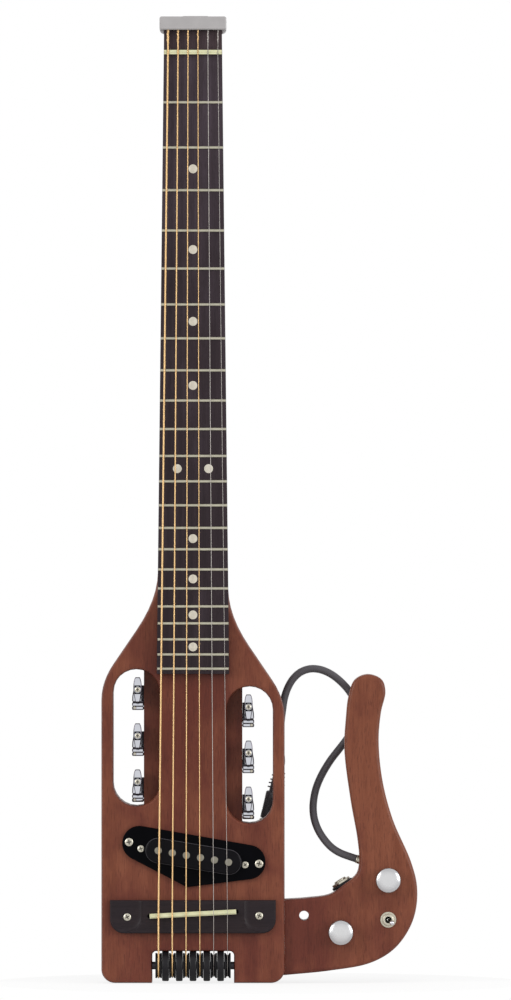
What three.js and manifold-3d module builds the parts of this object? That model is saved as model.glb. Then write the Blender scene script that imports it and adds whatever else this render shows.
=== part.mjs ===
// A headless six-string travel guitar with its tuners inside the body and a detachable lap rest.
// Millimetres. X runs across the guitar, Y from its front to its back, Z up the neck.
// The guitar stands on the flat bottom edge of its body. While it is built, X = 0 is the
// neck's centreline and Y = 0 the middle of the body's thickness; the last lines put the
// origin at the middle of the bottom.
import * as THREE from 'three';
import { mergeVertices } from 'three/addons/utils/BufferGeometryUtils.js';
import Module from 'manifold-3d';

const wasm = await Module();
wasm.setup();

// Clearances, shared by all pieces
const glueGap = 0.1; // between faces that are glued or screwed together
const fitGap = 0.3; // round a shaft, and between a piece and the pocket that holds it
const overrun = 4; // how far a cutter runs past the face that it opens

// Body and neck
const overallLength = 711.6;
const bodyHalfWidth = 67.5;
const bodyThickness = 44.5;
const edgeRound = 2.5;
const bottomCornerRadius = 10;
const sideOffset = 12.7; // the right opening and shoulder sit this much lower than the left
const shoulderBase = 208.5;
const shoulderRise = 94.5;
const heelDrop = 75; // how far the back slopes in, below the top of the left shoulder
const shoulderEdge = 6; // thickness left at the top of the shoulders
const neckHalfWidthAtNut = 21.5;
const neckHalfWidthAtEnd = 26.7;
const neckDepthAtNut = 14.3;
const neckDepthAtHeel = 16.5;
const neckSideWall = 3;
const heelBlend = 26; // how far the heel runs up the neck past the shoulders
const heelStationShares = [0, 0.15, 0.3, 0.45, 0.6, 0.75, 0.88, 1];
const neckFullness = 0.75; // 1 is a half round back, and less is fuller at its sides

// Points of a shoulder as shares: across from the body's side to the neck's, and up its rise
const shoulderCornerShare = [0, 0.143];
const shoulderSlopeStartShare = [0.216, 0.2825];
const shoulderSlopeEndShare = [0.621, 0.545];
const shoulderNeckShare = [0.993, 0.785];

// Openings for the tuners
const openingInnerX = 24.5;
const rimWidth = 8.7; // wood left between an opening and the body's side
const openingLength = 100.8;
const openingBase = 130.3;
const ledgeShare = 0.344; // of an opening's width, that the block stands out behind its front
const ledgeDepth = 16;

// Channel for the strings, routed from the back
const channelHalfWidth = 28.5;
const channelTop = 222;
const midChannelHalfWidth = 21;
const midChannelDepth = 12.25;
const wideChannelDepth = 14.2;
const upperChannelDepth = 19.25;
const channelSlopeMargin = 5.5;

// Tail cutout, axle, rollers and spacers
const tailHalfWidth = 30.2;
const tailHeight = 23.4;
const tailCornerRadius = 3.3;
const axleRadius = 2.85;
const axleHeight = 12.6;
const axleDepth = 8.05;
const axleSeat = 4.5;
const spacerClearance = 0.8;
const rollerRadius = 9.3;
const rollerWidth = 4.6;
const grooveRadius = 7.8;
const grooveFloor = 1.6;
const spacerRadius = 11.5;
const spacerWidth = 4.5;
const spacerRound = 1;

// Strings, from the lowest to the highest
const stringDiameters = [1.35, 1.07, 0.81, 0.61, 0.41, 0.3];
const stringSpreadAtNut = 36.7;
const stringSpreadAtSaddle = 50.75;
const stringRiseAtCap = 8.05;
const stringRiseAtNut = 8.45;
const stringRiseAtSaddle = 10.5;
const windingGap = 0.55; // between neighbouring turns on a tuner post
const windingTurns = 2.25;
const windingInsets = [0, 5.4, 8.4]; // from the outermost string in to each row's winding
const windingSteps = 11; // in each turn
const stringSides = 5;
const rollerSteps = 8; // round a roller
const ballRadius = 1.8;
const ballLength = 3.2;

// Fretboard and nut
const scaleLength = 628.65;
const nutSetback = 27.74; // from the top of the cap to the front of the nut
const nutThickness = 3.2;
const nutSeatDepth = 3;
const fretboardEnd = 227.8;
const fretboardThickness = 6;
const fretWidth = 2.2;
const fretHeight = 1;
const fretCrown = 0.9;
const fretSeat = 0.6;
const nutSlotDepth = 0.8;

// Head cap
const capHalfWidth = 24.6;
const capPlateHeight = 9.8;
const capEarLength = 2.3;
const capFrontRise = 11.25;
const capPlateDepth = 6.4;
const capBackWall = 2;
const capRound = 1.6;
const capEarRound = 3.2;
const ballSeatLength = 7;
const ballSeatRadius = 2.15;

// Bridge and saddle
const bridgeInset = 6.5; // from the body's side
const bridgeBottom = 36.7;
const bridgeHeight = 24.4;
const bridgeThickness = 5;
const bridgeCornerRadius = 10;
const bridgeRound = 1;
const wingDrop = 2.2;
const wingScrewInset = 12.5; // from the bridge's end
const wingScrewHeight = 49.1;
const wingScoopRadius = 11.2;
const saddleHalfLength = 32.2;
const saddleThickness = 3.5;
const saddleHeight = 51.05;
const saddleSlant = 3.3;
const saddleSeat = 2.6;
const saddleCrown = 1;
const saddleSlotReach = 1.3; // how far the slot goes on past each end of the saddle
const saddlePickupThickness = 1.2;
const saddlePickupInset = 1.5;

// Pickup plate and pickup
const plateThickness = 2.2;
const plateLeftX = -39.4;
const plateLeftZ = 103.1;
const plateRightX = 40.7;
const plateRightZ = 89.1;
const plateEndRadius = 12.7;
const plateTipX = -3.6;
const plateTipZ = 75.4;
const plateTipRadius = 4.6;
const pickupLength = 70.7;
const pickupWidth = 17.8;
const pickupHeight = 4.4;
const pickupX = 0.3;
const pickupZ = 93.4;
const pickupDrop = 11.7; // how much lower the pickup's right end is than its left
const pickupRound = 1.1;
const poleRadius = 2.6;
const polePitch = 10.5;
const poleRise = 0.5;

// Tuners
const tunerPitch = 33.95;
const tunerRise = 17.8; // from an opening's base to the lowest button's axis
const buttonStandoff = 4.6; // from the block's side to the buttons' axes
const buttonHalfLength = 9.15;
const buttonHalfWidth = 3.05;
const buttonTipWidth = 3;
const buttonFrontDepth = 2.5;
const buttonBackDepth = 14.5;
const buttonRound = 0.7;
const buttonRecessRadius = 2.75;
const buttonRecessDepth = 1.3;
const buttonScrewRadius = 2.3;
const buttonScrewHeight = 0.9;
const gearTeeth = 14;
const gearPitchRadius = 5.4;
const gearTipRadius = 6;
const gearRootRadius = 4.75;
const gearThickness = 2.4;
const toothTip = 0.62;
const toothRoot = 1.24;
const wormPitchRadius = 2.6;
const wormTipRadius = 2.9;
const wormCoreRadius = 1.7;
const wormTurns = 2.75;
const wormSegments = 6;
const threadRoot = 1.3;
const threadTip = 0.54;
const threadSeat = 0.25;
const tunerDepth = 25.75; // from the body's front to the posts' axes
const postRadius = 3;
const postPivotRadius = 1.5;
const postTipX = 11;
const postFlangeRadius = 3.5;
const postFlangeWidth = 1;
const housingReach = 8.8;
const housingWall = 1;
const housingHalfDepth = 8;
const housingAbove = 4.2;
const housingBelow = 15.2;
const housingCornerRadius = 3.6;
const housingRound = 1.2;
const housingShoulder = 4.2; // radius of its upper outer corner, seen from the front
const shaftRadius = 1.7;

// Lap rest
const armReach = 97.7;
const armBase = 5.5;
const armHeight = 221.8;
const armThickness = 25;
const armFrontDepth = 6.25; // how far its front lies behind the body's
const armRound = 3;
const armEndTrim = 6; // what is modelled past its end and cut off square
const armWall = 4;
const pegHoleRadius = 3.55;
const armPinRadius = 4;
const armPinLength = 30;
const armPinSeat = 12;
const coverThickness = 2;
const coverLip = 3;
const coverSink = 0.4;

// Outline of the lap rest as shares of its reach and height, from its lower left corner
const armOutlineShares = [
  [0, 0], [0.339, 0.015], [0.641, 0.04], [0.819, 0.085], [0.934, 0.151], [0.988, 0.218],
  [0.996, 0.297], [0.951, 0.377], [0.814, 0.517], [0.735, 0.649], [0.707, 0.782],
  [0.725, 0.875], [0.758, 0.942], [0.731, 0.982], [0.625, 1], [0.528, 0.982],
  [0.482, 0.931], [0.459, 0.849], [0.449, 0.749], [0.495, 0.583], [0.548, 0.45],
  [0.56, 0.381], [0.54, 0.337], [0.437, 0.299], [0.339, 0.269], [0.166, 0.257], [0, 0.252],
];

// Places on the lap rest as shares of its reach and height, from its lower left corner
const volumeShares = [0.7779, 0.316];
const toneShares = [0.4207, 0.1425];
const switchShares = [0.7789, 0.1844];
const outputShares = [0.4391, 0.2967];
const glandShares = [0.5589, 0.3828];
const pegHoleShares = [0.1433, 0.1979];
const armPinShares = [0.0518, 0.151]; // up its height alone

// Controls on the lap rest
const knobRadius = 9.15;
const knobHeight = 11;
const knobDome = 2.4;
const domeSteps = 5;
const domeFullness = 0.6; // below 1 the dome is flatter in its middle
const knobStandoff = 0.9;
const potRadius = 8.2;
const potDepth = 8;
const potBushRadius = 3.4;
const potShaftRadius = 3;
const potShaftLength = 8.5;
const potCavityRadius = 13;
const switchHalfWidth = 6.4;
const switchBodyDepth = 11;
const switchBushRadius = 3.1;
const switchWasherRadius = 6.1;
const switchWasherThickness = 0.8;
const switchNutRadius = 4.6;
const switchNutThickness = 1.8;
const switchMouthRadius = 2.5;
const switchCavityRadius = 11;
const leverRadius = 0.85;
const leverTipRadius = 1.3;
const leverLength = 11;
const leverBallRadius = 1.5;
const leverPivotDepth = 0.6;
const leverTilt = 18; // degrees from the middle of its travel
const leverTurn = -38.7; // degrees from straight right, towards which its tip leans

// Output jack in the inner corner of the lap rest
const outputLean = 31.3; // degrees that its axis leans to the left
const outputNutRadius = 7.5;
const outputNutThickness = 1.9;
const outputWasherRadius = 8.3;
const outputWasherThickness = 1.9;
const outputBarrelRadius = 4.7;
const outputBarrelLength = 24;
const jackBoreRadius = 3.2;

// Cord with its gland, its plug and the jack in the body
const glandRise = 18; // degrees that the gland points up from level
const glandLength = 14;
const glandRadius = 3.25;
const glandCollar = 2;
const cordDiameter = 5.6;
const cordSteps = 34;
const cordSides = 8;
const plugInset = 11.6; // from the body's side
const plugZ = 118;
const plugLean = 11.9; // degrees that the plug's axis leans to the right
const plugDepth = 35.25; // from the body's front to the plug's axis
const plugHandleRadius = 7;
const plugHandleLength = 22.5;
const plugPinRadius = 2.9;
const plugPinLength = 16;
const plugTipLength = 3;
const reliefRadius = 5.8;
const reliefPitch = 2.95;
const reliefLength = 16.5;
const reliefRibs = 5;
const reliefGroove = 1.6;
const reliefGrooveShare = 0.3; // of the pitch, up to the deepest point of each groove
const bodyJackRadius = 5.4;
const bodyJackLength = 20;
const bodyJackFlange = 7.2;
const bodyJackFlangeThickness = 1.4;
const plugPocketRadius = 9.5;
const rimThickness = 25.25;
const pocketTopInset = 14.5; // from the body's side
const pocketTopZ = 205;
const pocketRunOut = 9.5; // beyond the body's side
const pocketRunZ = 238;

// Route of the cord from its gland to its plug, chosen by hand, with X from the lap rest's end
const cordRoute = [
  [40.5, -2.8, 95.4], [34.4, -1.5, 99.3], [28.8, 0.3, 105.4], [24.4, 2.3, 112.5],
  [21.7, 4.4, 120.1], [20.8, 6.4, 127.4], [21.3, 8.2, 134.8], [22.9, 9.9, 142.2],
  [25.7, 11.4, 149.5], [29.6, 12.6, 156.9], [34.4, 13.3, 164.3], [40.1, 13.6, 171.6],
  [46, 13.6, 179.4], [50.8, 13.6, 187.8], [53.4, 13.6, 196.7], [52.3, 13.6, 205.5],
  [47.6, 13.6, 214.4], [40.5, 13.6, 222.2], [33.1, 13.6, 227.6], [25.7, 13.6, 230.5],
  [18.4, 13.6, 230.9], [11.4, 13.6, 228.4], [5.8, 13.6, 223.2], [2, 13.5, 216.6],
  [-0.4, 13.4, 209.4], [-1.8, 13.2, 200.6], [-2.9, 13, 191.6], [-3.3, 13, 181.8],
  [-3.4, 13, 171.8],
];

// Counts and angles
const roundSegments = 16;
const smallSegments = 8;
const discSegments = 13;
const hexSides = 6;
const coarse = { curves: 2, edges: 1 }; // how finely an outline's curves and rounded edges are cut
const medium = { curves: 4, edges: 1 };
const fine = { curves: 6, edges: 2 };
const turn = Math.PI * 2;
const quarter = Math.PI / 2;

// Places worked out from the sizes above
const frontY = -bodyThickness / 2;
const backY = bodyThickness / 2;
const nutFrontZ = overallLength - nutSetback;
const headEndZ = overallLength - capPlateHeight - fitGap;
const axleY = frontY + axleDepth;
const tunerY = frontY + tunerDepth;
const gearLead = (turn * gearPitchRadius) / gearTeeth;
const armFrontY = frontY + armFrontDepth;
const armBackY = armFrontY + armThickness;
const armMidY = armFrontY + armThickness / 2;
const armX = bodyHalfWidth + fitGap;
const armPinHeights = armPinShares.map((share) => armBase + armHeight * share);
const [volumeX, volumeZ] = onLapRest(volumeShares);
const [toneX, toneZ] = onLapRest(toneShares);
const [switchX, switchZ] = onLapRest(switchShares);
const [outputX, outputZ] = onLapRest(outputShares);
const [glandX, glandZ] = onLapRest(glandShares);
const [pegHoleX, pegHoleZ] = onLapRest(pegHoleShares);
const boardFrontY = frontY - glueGap - fretboardThickness;
const openingWidth = bodyHalfWidth - rimWidth - openingInnerX;
const openingX = openingInnerX + openingWidth / 2;
const ledgeHalfWidth = openingInnerX + openingWidth * ledgeShare;
const buttonX = ledgeHalfWidth + buttonStandoff;
const bridgeHalfWidth = bodyHalfWidth - bridgeInset;
const wingScrewX = bridgeHalfWidth - wingScrewInset;
const plugX = bodyHalfWidth - plugInset;
const plugY = frontY + plugDepth;

function onLapRest([across, up]) {
  return [armX + armReach * across, armBase + armHeight * up];
}

// Materials
function finish(color, roughness, metalness) {
  return () => new THREE.MeshStandardMaterial({ color, roughness, metalness });
}
const mahogany = finish(0x784838, 0.55, 0);
const rosewood = finish(0x3a3034, 0.5, 0);
const bone = finish(0xdedcaf, 0.4, 0);
const castGrey = finish(0xafadac, 0.4, 0.7);
const bronze = finish(0xc79a54, 0.35, 1);
const steel = finish(0xb9b9b6, 0.3, 1);
const chrome = finish(0xd7dade, 0.12, 1);
const glossBlack = finish(0x0d0c0e, 0.12, 0);
const satinBlack = finish(0x17161a, 0.45, 0);
const rubber = finish(0x333336, 0.6, 0);

// Solids

// One indexed closed mesh of a geometry: shared corners merged, empty faces dropped, facing out
function welded(geometry) {
  const bare = new THREE.BufferGeometry();
  bare.setAttribute('position', geometry.getAttribute('position').clone());
  if (geometry.index) {
    bare.setIndex(geometry.index.clone());
  }
  const merged = mergeVertices(bare);
  const corner = merged.getAttribute('position');
  const faces = [];
  const a = new THREE.Vector3();
  const b = new THREE.Vector3();
  const c = new THREE.Vector3();
  let volume = 0;
  for (let i = 0; i < merged.index.count; i += 3) {
    const face = [0, 1, 2].map((k) => merged.index.getX(i + k));
    if (face[0] === face[1] || face[1] === face[2] || face[2] === face[0]) {
      continue;
    }
    a.fromBufferAttribute(corner, face[0]);
    b.fromBufferAttribute(corner, face[1]);
    c.fromBufferAttribute(corner, face[2]);
    volume += a.dot(b.cross(c));
    faces.push(face);
  }
  const order = volume < 0 ? [0, 2, 1] : [0, 1, 2];
  merged.setIndex(faces.flatMap((face) => order.map((k) => face[k])));
  return merged;
}

function solidOf(geometry) {
  const whole = welded(geometry);
  return new wasm.Manifold(new wasm.Mesh({
    numProp: 3,
    vertProperties: new Float32Array(whole.getAttribute('position').array),
    triVerts: new Uint32Array(whole.index.array),
  }));
}

function geometryOf(solid) {
  const mesh = solid.getMesh();
  const geometry = new THREE.BufferGeometry();
  geometry.setAttribute('position', new THREE.BufferAttribute(mesh.vertProperties, 3));
  geometry.setIndex(new THREE.BufferAttribute(mesh.triVerts, 1));
  return geometry;
}

function join(geometry, others) {
  return geometryOf(others.reduce((sum, other) => sum.add(solidOf(other)), solidOf(geometry)));
}

function cut(geometry, others) {
  return geometryOf(others.reduce((rest, other) => rest.subtract(solidOf(other)), solidOf(geometry)));
}

function common(geometry, other) {
  return geometryOf(solidOf(geometry).intersect(solidOf(other)));
}

// A slab between two Y planes of an outline drawn in X and Z, with its edges rounded by round
function slab(shape, front, back, round = 0, detail = coarse) {
  const geometry = new THREE.ExtrudeGeometry(shape, {
    depth: back - front - 2 * round,
    bevelEnabled: round > 0,
    bevelSize: round,
    bevelOffset: -round,
    bevelThickness: round,
    bevelSegments: detail.edges,
    curveSegments: detail.curves,
  });
  return geometry.rotateX(quarter).translate(0, back - round, 0);
}

// A bar between two X planes of an outline drawn in Y and Z
function bar(shape, left, right, round = 0, detail = coarse) {
  const geometry = new THREE.ExtrudeGeometry(shape, {
    depth: right - left - 2 * round,
    bevelEnabled: round > 0,
    bevelSize: round,
    bevelOffset: -round,
    bevelThickness: round,
    bevelSegments: detail.edges,
    curveSegments: detail.curves,
  });
  const across = new THREE.Matrix4().makeBasis(
    new THREE.Vector3(0, 1, 0),
    new THREE.Vector3(0, 0, 1),
    new THREE.Vector3(1, 0, 0),
  );
  return geometry.applyMatrix4(across).translate(left + round, 0, 0);
}

// A body of revolution about Z of a profile of [radius, height] pairs, closed on the axis
function turned(profile, segments = roundSegments) {
  const first = profile[0][1];
  const last = profile[profile.length - 1][1];
  const whole = [[0, first], ...profile, [0, last]];
  const points = whole.map(([radius, height]) => new THREE.Vector2(radius, height));
  return new THREE.LatheGeometry(points, segments).rotateX(quarter);
}

// A ring about Z of a profile of [radius, height] pairs that closes on itself
function ring(profile, segments = roundSegments) {
  const points = [...profile, profile[0]].map(([radius, height]) => new THREE.Vector2(radius, height));
  return new THREE.LatheGeometry(points, segments).rotateX(quarter);
}

function rod(radius, from, to, segments = roundSegments) {
  return turned([[radius, from], [radius, to]], segments);
}

// Lays a shape that was turned about Z along X or along Y
function alongX(geometry) {
  return geometry.rotateY(quarter);
}

function alongY(geometry) {
  return geometry.rotateX(-quarter);
}

// A body whose surface runs through closed sections of equally many points
function loft(sections) {
  const count = sections[0].length;
  const corners = sections.flat().flatMap((point) => [point.x, point.y, point.z]);
  const faces = [];
  for (let s = 0; s + 1 < sections.length; s += 1) {
    for (let i = 0; i < count; i += 1) {
      const a = s * count + i;
      const b = s * count + ((i + 1) % count);
      faces.push(a, b, a + count, b, b + count, a + count);
    }
  }
  const last = (sections.length - 1) * count;
  for (let i = 1; i + 1 < count; i += 1) {
    faces.push(0, i + 1, i);
    faces.push(last, last + i, last + i + 1);
  }
  const geometry = new THREE.BufferGeometry();
  geometry.setAttribute('position', new THREE.Float32BufferAttribute(corners, 3));
  geometry.setIndex(faces);
  return geometry;
}

// A path that passes through chosen points, one step from each to the next
class PointPath extends THREE.Curve {
  constructor(points) {
    super();
    this.points = points;
  }

  getPointAt(share) {
    return this.points[Math.round(share * (this.points.length - 1))].clone();
  }

  getTangentAt(share) {
    const last = this.points.length - 1;
    const index = Math.round(share * last);
    const before = this.points[Math.max(index - 1, 0)];
    const after = this.points[Math.min(index + 1, last)];
    const here = this.points[index];
    const into = here.clone().sub(before).normalize();
    const out = after.clone().sub(here).normalize();
    return into.add(out).normalize();
  }
}

function tube(points, diameter, sides) {
  const section = new THREE.Shape();
  for (let i = 0; i < sides; i += 1) {
    const angle = (turn * i) / sides;
    const x = (diameter / 2) * Math.cos(angle);
    const y = (diameter / 2) * Math.sin(angle);
    if (i === 0) {
      section.moveTo(x, y);
    } else {
      section.lineTo(x, y);
    }
  }
  section.closePath();
  return new THREE.ExtrudeGeometry(section, {
    steps: points.length - 1,
    bevelEnabled: false,
    extrudePath: new PointPath(points),
  });
}

// Outlines

function polygon(points) {
  const shape = new THREE.Shape();
  points.forEach(([x, y], i) => (i === 0 ? shape.moveTo(x, y) : shape.lineTo(x, y)));
  shape.closePath();
  return shape;
}

function roundedRectangle(left, bottom, right, top, radius) {
  const shape = new THREE.Shape();
  shape.moveTo(left + radius, bottom);
  shape.lineTo(right - radius, bottom);
  shape.absarc(right - radius, bottom + radius, radius, -quarter, 0);
  shape.lineTo(right, top - radius);
  shape.absarc(right - radius, top - radius, radius, 0, quarter);
  shape.lineTo(left + radius, top);
  shape.absarc(left + radius, top - radius, radius, quarter, 2 * quarter);
  shape.lineTo(left, bottom + radius);
  shape.absarc(left + radius, bottom + radius, radius, 2 * quarter, 3 * quarter);
  return shape;
}

// The outline that a band pulled tight round some circles would take
function bandRound(circles) {
  const points = [];
  for (const [x, y, radius] of circles) {
    for (let i = 0; i < roundSegments; i += 1) {
      const angle = (turn * i) / roundSegments;
      points.push([x + radius * Math.cos(angle), y + radius * Math.sin(angle)]);
    }
  }
  points.sort((p, q) => p[0] - q[0] || p[1] - q[1]);
  const half = (ordered) => {
    const kept = [];
    for (const point of ordered) {
      while (kept.length > 1 && turnsRight(kept[kept.length - 2], kept[kept.length - 1], point)) {
        kept.pop();
      }
      kept.push(point);
    }
    return kept.slice(0, -1);
  };
  return polygon([...half(points), ...half([...points].reverse())]);
}

function turnsRight(p, q, r) {
  return (q[0] - p[0]) * (r[1] - p[1]) - (q[1] - p[1]) * (r[0] - p[0]) <= 0;
}

function neckHalfWidth(z) {
  const share = (z - fretboardEnd) / (nutFrontZ - fretboardEnd);
  return neckHalfWidthAtEnd + (neckHalfWidthAtNut - neckHalfWidthAtEnd) * share;
}

// A level that eases from one value to another as share goes from 0 to 1
function eased(from, to, share) {
  const held = Math.min(Math.max(share, 0), 1);
  return from + ((to - from) * (1 - Math.cos(Math.PI * held))) / 2;
}

// Body and neck

function openingBaseOn(side) {
  return side < 0 ? openingBase : openingBase - sideOffset;
}

function shoulderDropOn(side) {
  return side < 0 ? 0 : sideOffset;
}

// One point of the shoulder on a side, given its share across and up
function shoulderPoint(side, [across, up]) {
  const base = shoulderBase - shoulderDropOn(side);
  const inner = neckHalfWidth(base + shoulderRise);
  const x = bodyHalfWidth + (inner - bodyHalfWidth) * across;
  return [side * x, base + shoulderRise * up];
}

function bodyOutline() {
  const shape = new THREE.Shape();
  const corner = bottomCornerRadius;
  const [tail, tailRound] = [tailHalfWidth, tailCornerRadius];
  shape.moveTo(-bodyHalfWidth + corner, 0);
  shape.lineTo(-tail, 0);
  shape.lineTo(-tail, tailHeight - tailRound);
  shape.absarc(-tail + tailRound, tailHeight - tailRound, tailRound, 2 * quarter, quarter, true);
  shape.lineTo(tail - tailRound, tailHeight);
  shape.absarc(tail - tailRound, tailHeight - tailRound, tailRound, quarter, 0, true);
  shape.lineTo(tail, 0);
  shape.lineTo(bodyHalfWidth - corner, 0);
  shape.absarc(bodyHalfWidth - corner, corner, corner, -quarter, 0);
  shape.lineTo(...shoulderPoint(1, [0, 0]));
  shape.quadraticCurveTo(
    ...shoulderPoint(1, shoulderCornerShare),
    ...shoulderPoint(1, shoulderSlopeStartShare),
  );
  shape.lineTo(...shoulderPoint(1, shoulderSlopeEndShare));
  shape.quadraticCurveTo(...shoulderPoint(1, shoulderNeckShare), ...shoulderPoint(1, [1, 1]));
  const topZ = shoulderBase + shoulderRise;
  shape.lineTo(neckHalfWidth(topZ), topZ);
  shape.lineTo(...shoulderPoint(-1, [1, 1]));
  shape.quadraticCurveTo(
    ...shoulderPoint(-1, shoulderNeckShare),
    ...shoulderPoint(-1, shoulderSlopeEndShare),
  );
  shape.lineTo(...shoulderPoint(-1, shoulderSlopeStartShare));
  shape.quadraticCurveTo(...shoulderPoint(-1, shoulderCornerShare), ...shoulderPoint(-1, [0, 0]));
  shape.lineTo(-bodyHalfWidth, corner);
  shape.absarc(-bodyHalfWidth + corner, corner, corner, 2 * quarter, 3 * quarter);
  shape.holes.push(openingOutline(-1, 0, true));
  shape.holes.push(openingOutline(1, 0, true));
  return shape;
}

// The rounded slot that the tuners sit in, grown by some margin
function openingOutline(side, margin, asHole) {
  const radius = openingWidth / 2 + margin;
  const low = openingBaseOn(side) + openingWidth / 2;
  const high = openingBaseOn(side) + openingLength - openingWidth / 2;
  const path = asHole ? new THREE.Path() : new THREE.Shape();
  path.moveTo(side * openingX + radius, low);
  path.lineTo(side * openingX + radius, high);
  path.absarc(side * openingX, high, radius, 0, 2 * quarter);
  path.lineTo(side * openingX - radius, low);
  path.absarc(side * openingX, low, radius, 2 * quarter, 4 * quarter);
  return path;
}

// The back falls from full thickness to the thin edge at the top of the shoulders
function backSlopeProfile() {
  const steps = smallSegments;
  const topZ = shoulderBase + shoulderRise;
  const points = [[frontY - overrun, -overrun], [backY + overrun, -overrun]];
  points.push([backY + overrun, topZ - heelDrop]);
  for (let i = 0; i <= steps; i += 1) {
    const share = i / steps;
    points.push([eased(backY, frontY + shoulderEdge, share), topZ - heelDrop * (1 - share)]);
  }
  points.push([frontY + shoulderEdge, topZ + overrun]);
  points.push([frontY - overrun, topZ + overrun]);
  return polygon(points);
}

function neckDepth(z) {
  const shoulderTop = shoulderBase + shoulderRise;
  const neckShare = (z - shoulderTop) / (nutFrontZ - shoulderTop);
  const plain = neckDepthAtHeel + (neckDepthAtNut - neckDepthAtHeel) * Math.max(neckShare, 0);
  const heelShare = (z - shoulderTop + heelDrop) / (heelDrop + heelBlend);
  return eased(bodyThickness - edgeRound, plain, heelShare);
}

// A D-shaped section of the neck: flat under the fretboard, round at the back
function neckSection(z) {
  const half = neckHalfWidth(z);
  const depth = neckDepth(z);
  const section = [new THREE.Vector3(-half, frontY, z)];
  for (let i = 0; i <= smallSegments; i += 1) {
    const angle = (Math.PI * i) / smallSegments;
    const bulge = (depth - neckSideWall) * Math.sin(angle) ** neckFullness;
    section.push(new THREE.Vector3(-half * Math.cos(angle), frontY + neckSideWall + bulge, z));
  }
  section.push(new THREE.Vector3(half, frontY, z));
  return section;
}

function neck() {
  const heelLow = shoulderBase + shoulderRise - heelDrop;
  const heelLength = heelDrop + heelBlend;
  const heights = heelStationShares.map((share) => heelLow + heelLength * share);
  heights.push(nutFrontZ, headEndZ);
  return loft(heights.map(neckSection));
}

// The block between the openings is wider behind its front; this is the part that stands out
function ledge(side) {
  const margin = edgeRound + fitGap;
  const grown = slab(openingOutline(side, margin), frontY + ledgeDepth, backY, 0, fine);
  const outer = side * (openingX + openingWidth);
  const low = openingBaseOn(side) - openingWidth;
  const high = openingBaseOn(side) + openingLength + openingWidth;
  const [left, right] = [side * ledgeHalfWidth, outer].sort((a, b) => a - b);
  const beyond = roundedRectangle(left, low, right, high, 0);
  return cut(grown, [slab(beyond, frontY, backY + overrun)]);
}

function channelCutters() {
  const lowerEnd = openingBase - sideOffset - channelSlopeMargin;
  const wide = polygon([
    [backY + overrun, tailHeight / 2],
    [frontY + wideChannelDepth, tailHeight / 2],
    [frontY + wideChannelDepth, tailHeight],
    [frontY + upperChannelDepth, lowerEnd],
    [frontY + upperChannelDepth, channelTop],
    [backY + overrun, channelTop],
  ]);
  const middle = polygon([
    [backY + overrun, tailHeight / 2],
    [frontY + midChannelDepth, tailHeight / 2],
    [frontY + midChannelDepth, channelTop - edgeRound],
    [backY + overrun, channelTop - edgeRound],
  ]);
  return [
    bar(wide, -channelHalfWidth, channelHalfWidth),
    bar(middle, -midChannelHalfWidth, midChannelHalfWidth),
  ];
}

// Turns what was made about Z so that it leans by some degrees from Z towards +X
function leaning(geometry, degrees) {
  return geometry.rotateY(THREE.MathUtils.degToRad(degrees));
}

// A place along the plug's axis, measured from the pocket's floor up
function alongPlug(distance, aside = 0) {
  const lean = THREE.MathUtils.degToRad(plugLean);
  const x = plugX + distance * Math.sin(lean) + aside * Math.cos(lean);
  const z = plugZ + distance * Math.cos(lean) - aside * Math.sin(lean);
  return [x, z];
}

// The back of the right rim is cut away so that the plug and its cord pass behind it
function plugPocket() {
  const outside = bodyHalfWidth + overrun - plugX;
  return slab(polygon([
    alongPlug(0, -plugPocketRadius),
    alongPlug(0, outside / Math.cos(THREE.MathUtils.degToRad(plugLean))),
    [bodyHalfWidth + pocketRunOut, pocketRunZ],
    [bodyHalfWidth - pocketTopInset, pocketTopZ],
    alongPlug(plugHandleLength, -plugPocketRadius),
  ]), frontY + rimThickness, backY + overrun);
}

function plugBore(radius, depth) {
  const bore = leaning(rod(radius, -depth, overrun), plugLean);
  return bore.translate(plugX, plugY, plugZ);
}

function tunerPlaces() {
  const places = [];
  for (const side of [-1, 1]) {
    for (let row = 0; row < 3; row += 1) {
      const z = openingBaseOn(side) + tunerRise + tunerPitch * row;
      places.push({ side, row, z, postZ: z - gearPitchRadius - wormPitchRadius });
    }
  }
  return places;
}

function bodyAndNeck() {
  const body = slab(bodyOutline(), frontY, backY, edgeRound, fine);
  const sloped = common(body, bar(backSlopeProfile(), -bodyHalfWidth - overrun, bodyHalfWidth + overrun));
  const whole = join(sloped, [neck(), ledge(-1), ledge(1)]);
  const axleBore = alongX(rod(axleRadius + fitGap, -tailHalfWidth - axleSeat, tailHalfWidth + axleSeat));
  const cutters = [
    ...channelCutters(),
    plugPocket(),
    plugBore(bodyJackRadius + fitGap, bodyJackLength + fitGap),
    axleBore.translate(0, axleY, axleHeight),
    alongX(rod(spacerRadius + spacerClearance, -channelHalfWidth, channelHalfWidth))
      .translate(0, axleY, axleHeight),
  ];
  for (const { side, postZ } of tunerPlaces()) {
    const [inner, outer] = [channelHalfWidth - overrun, ledgeHalfWidth + overrun];
    const bore = rod(postRadius + fitGap, inner, outer, smallSegments);
    cutters.push(alongX(bore).scale(side, 1, 1).translate(0, tunerY, postZ));
  }
  for (const height of armPinHeights) {
    const bore = rod(armPinRadius + fitGap, armX - armPinSeat - 3 * fitGap, armX + overrun, smallSegments);
    cutters.push(alongX(bore).translate(0, armMidY, height));
  }
  return cut(whole, cutters);
}

// Fretboard, nut and cap

function fretZ(number) {
  return nutFrontZ - scaleLength * (1 - 2 ** (-number / 12));
}

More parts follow.
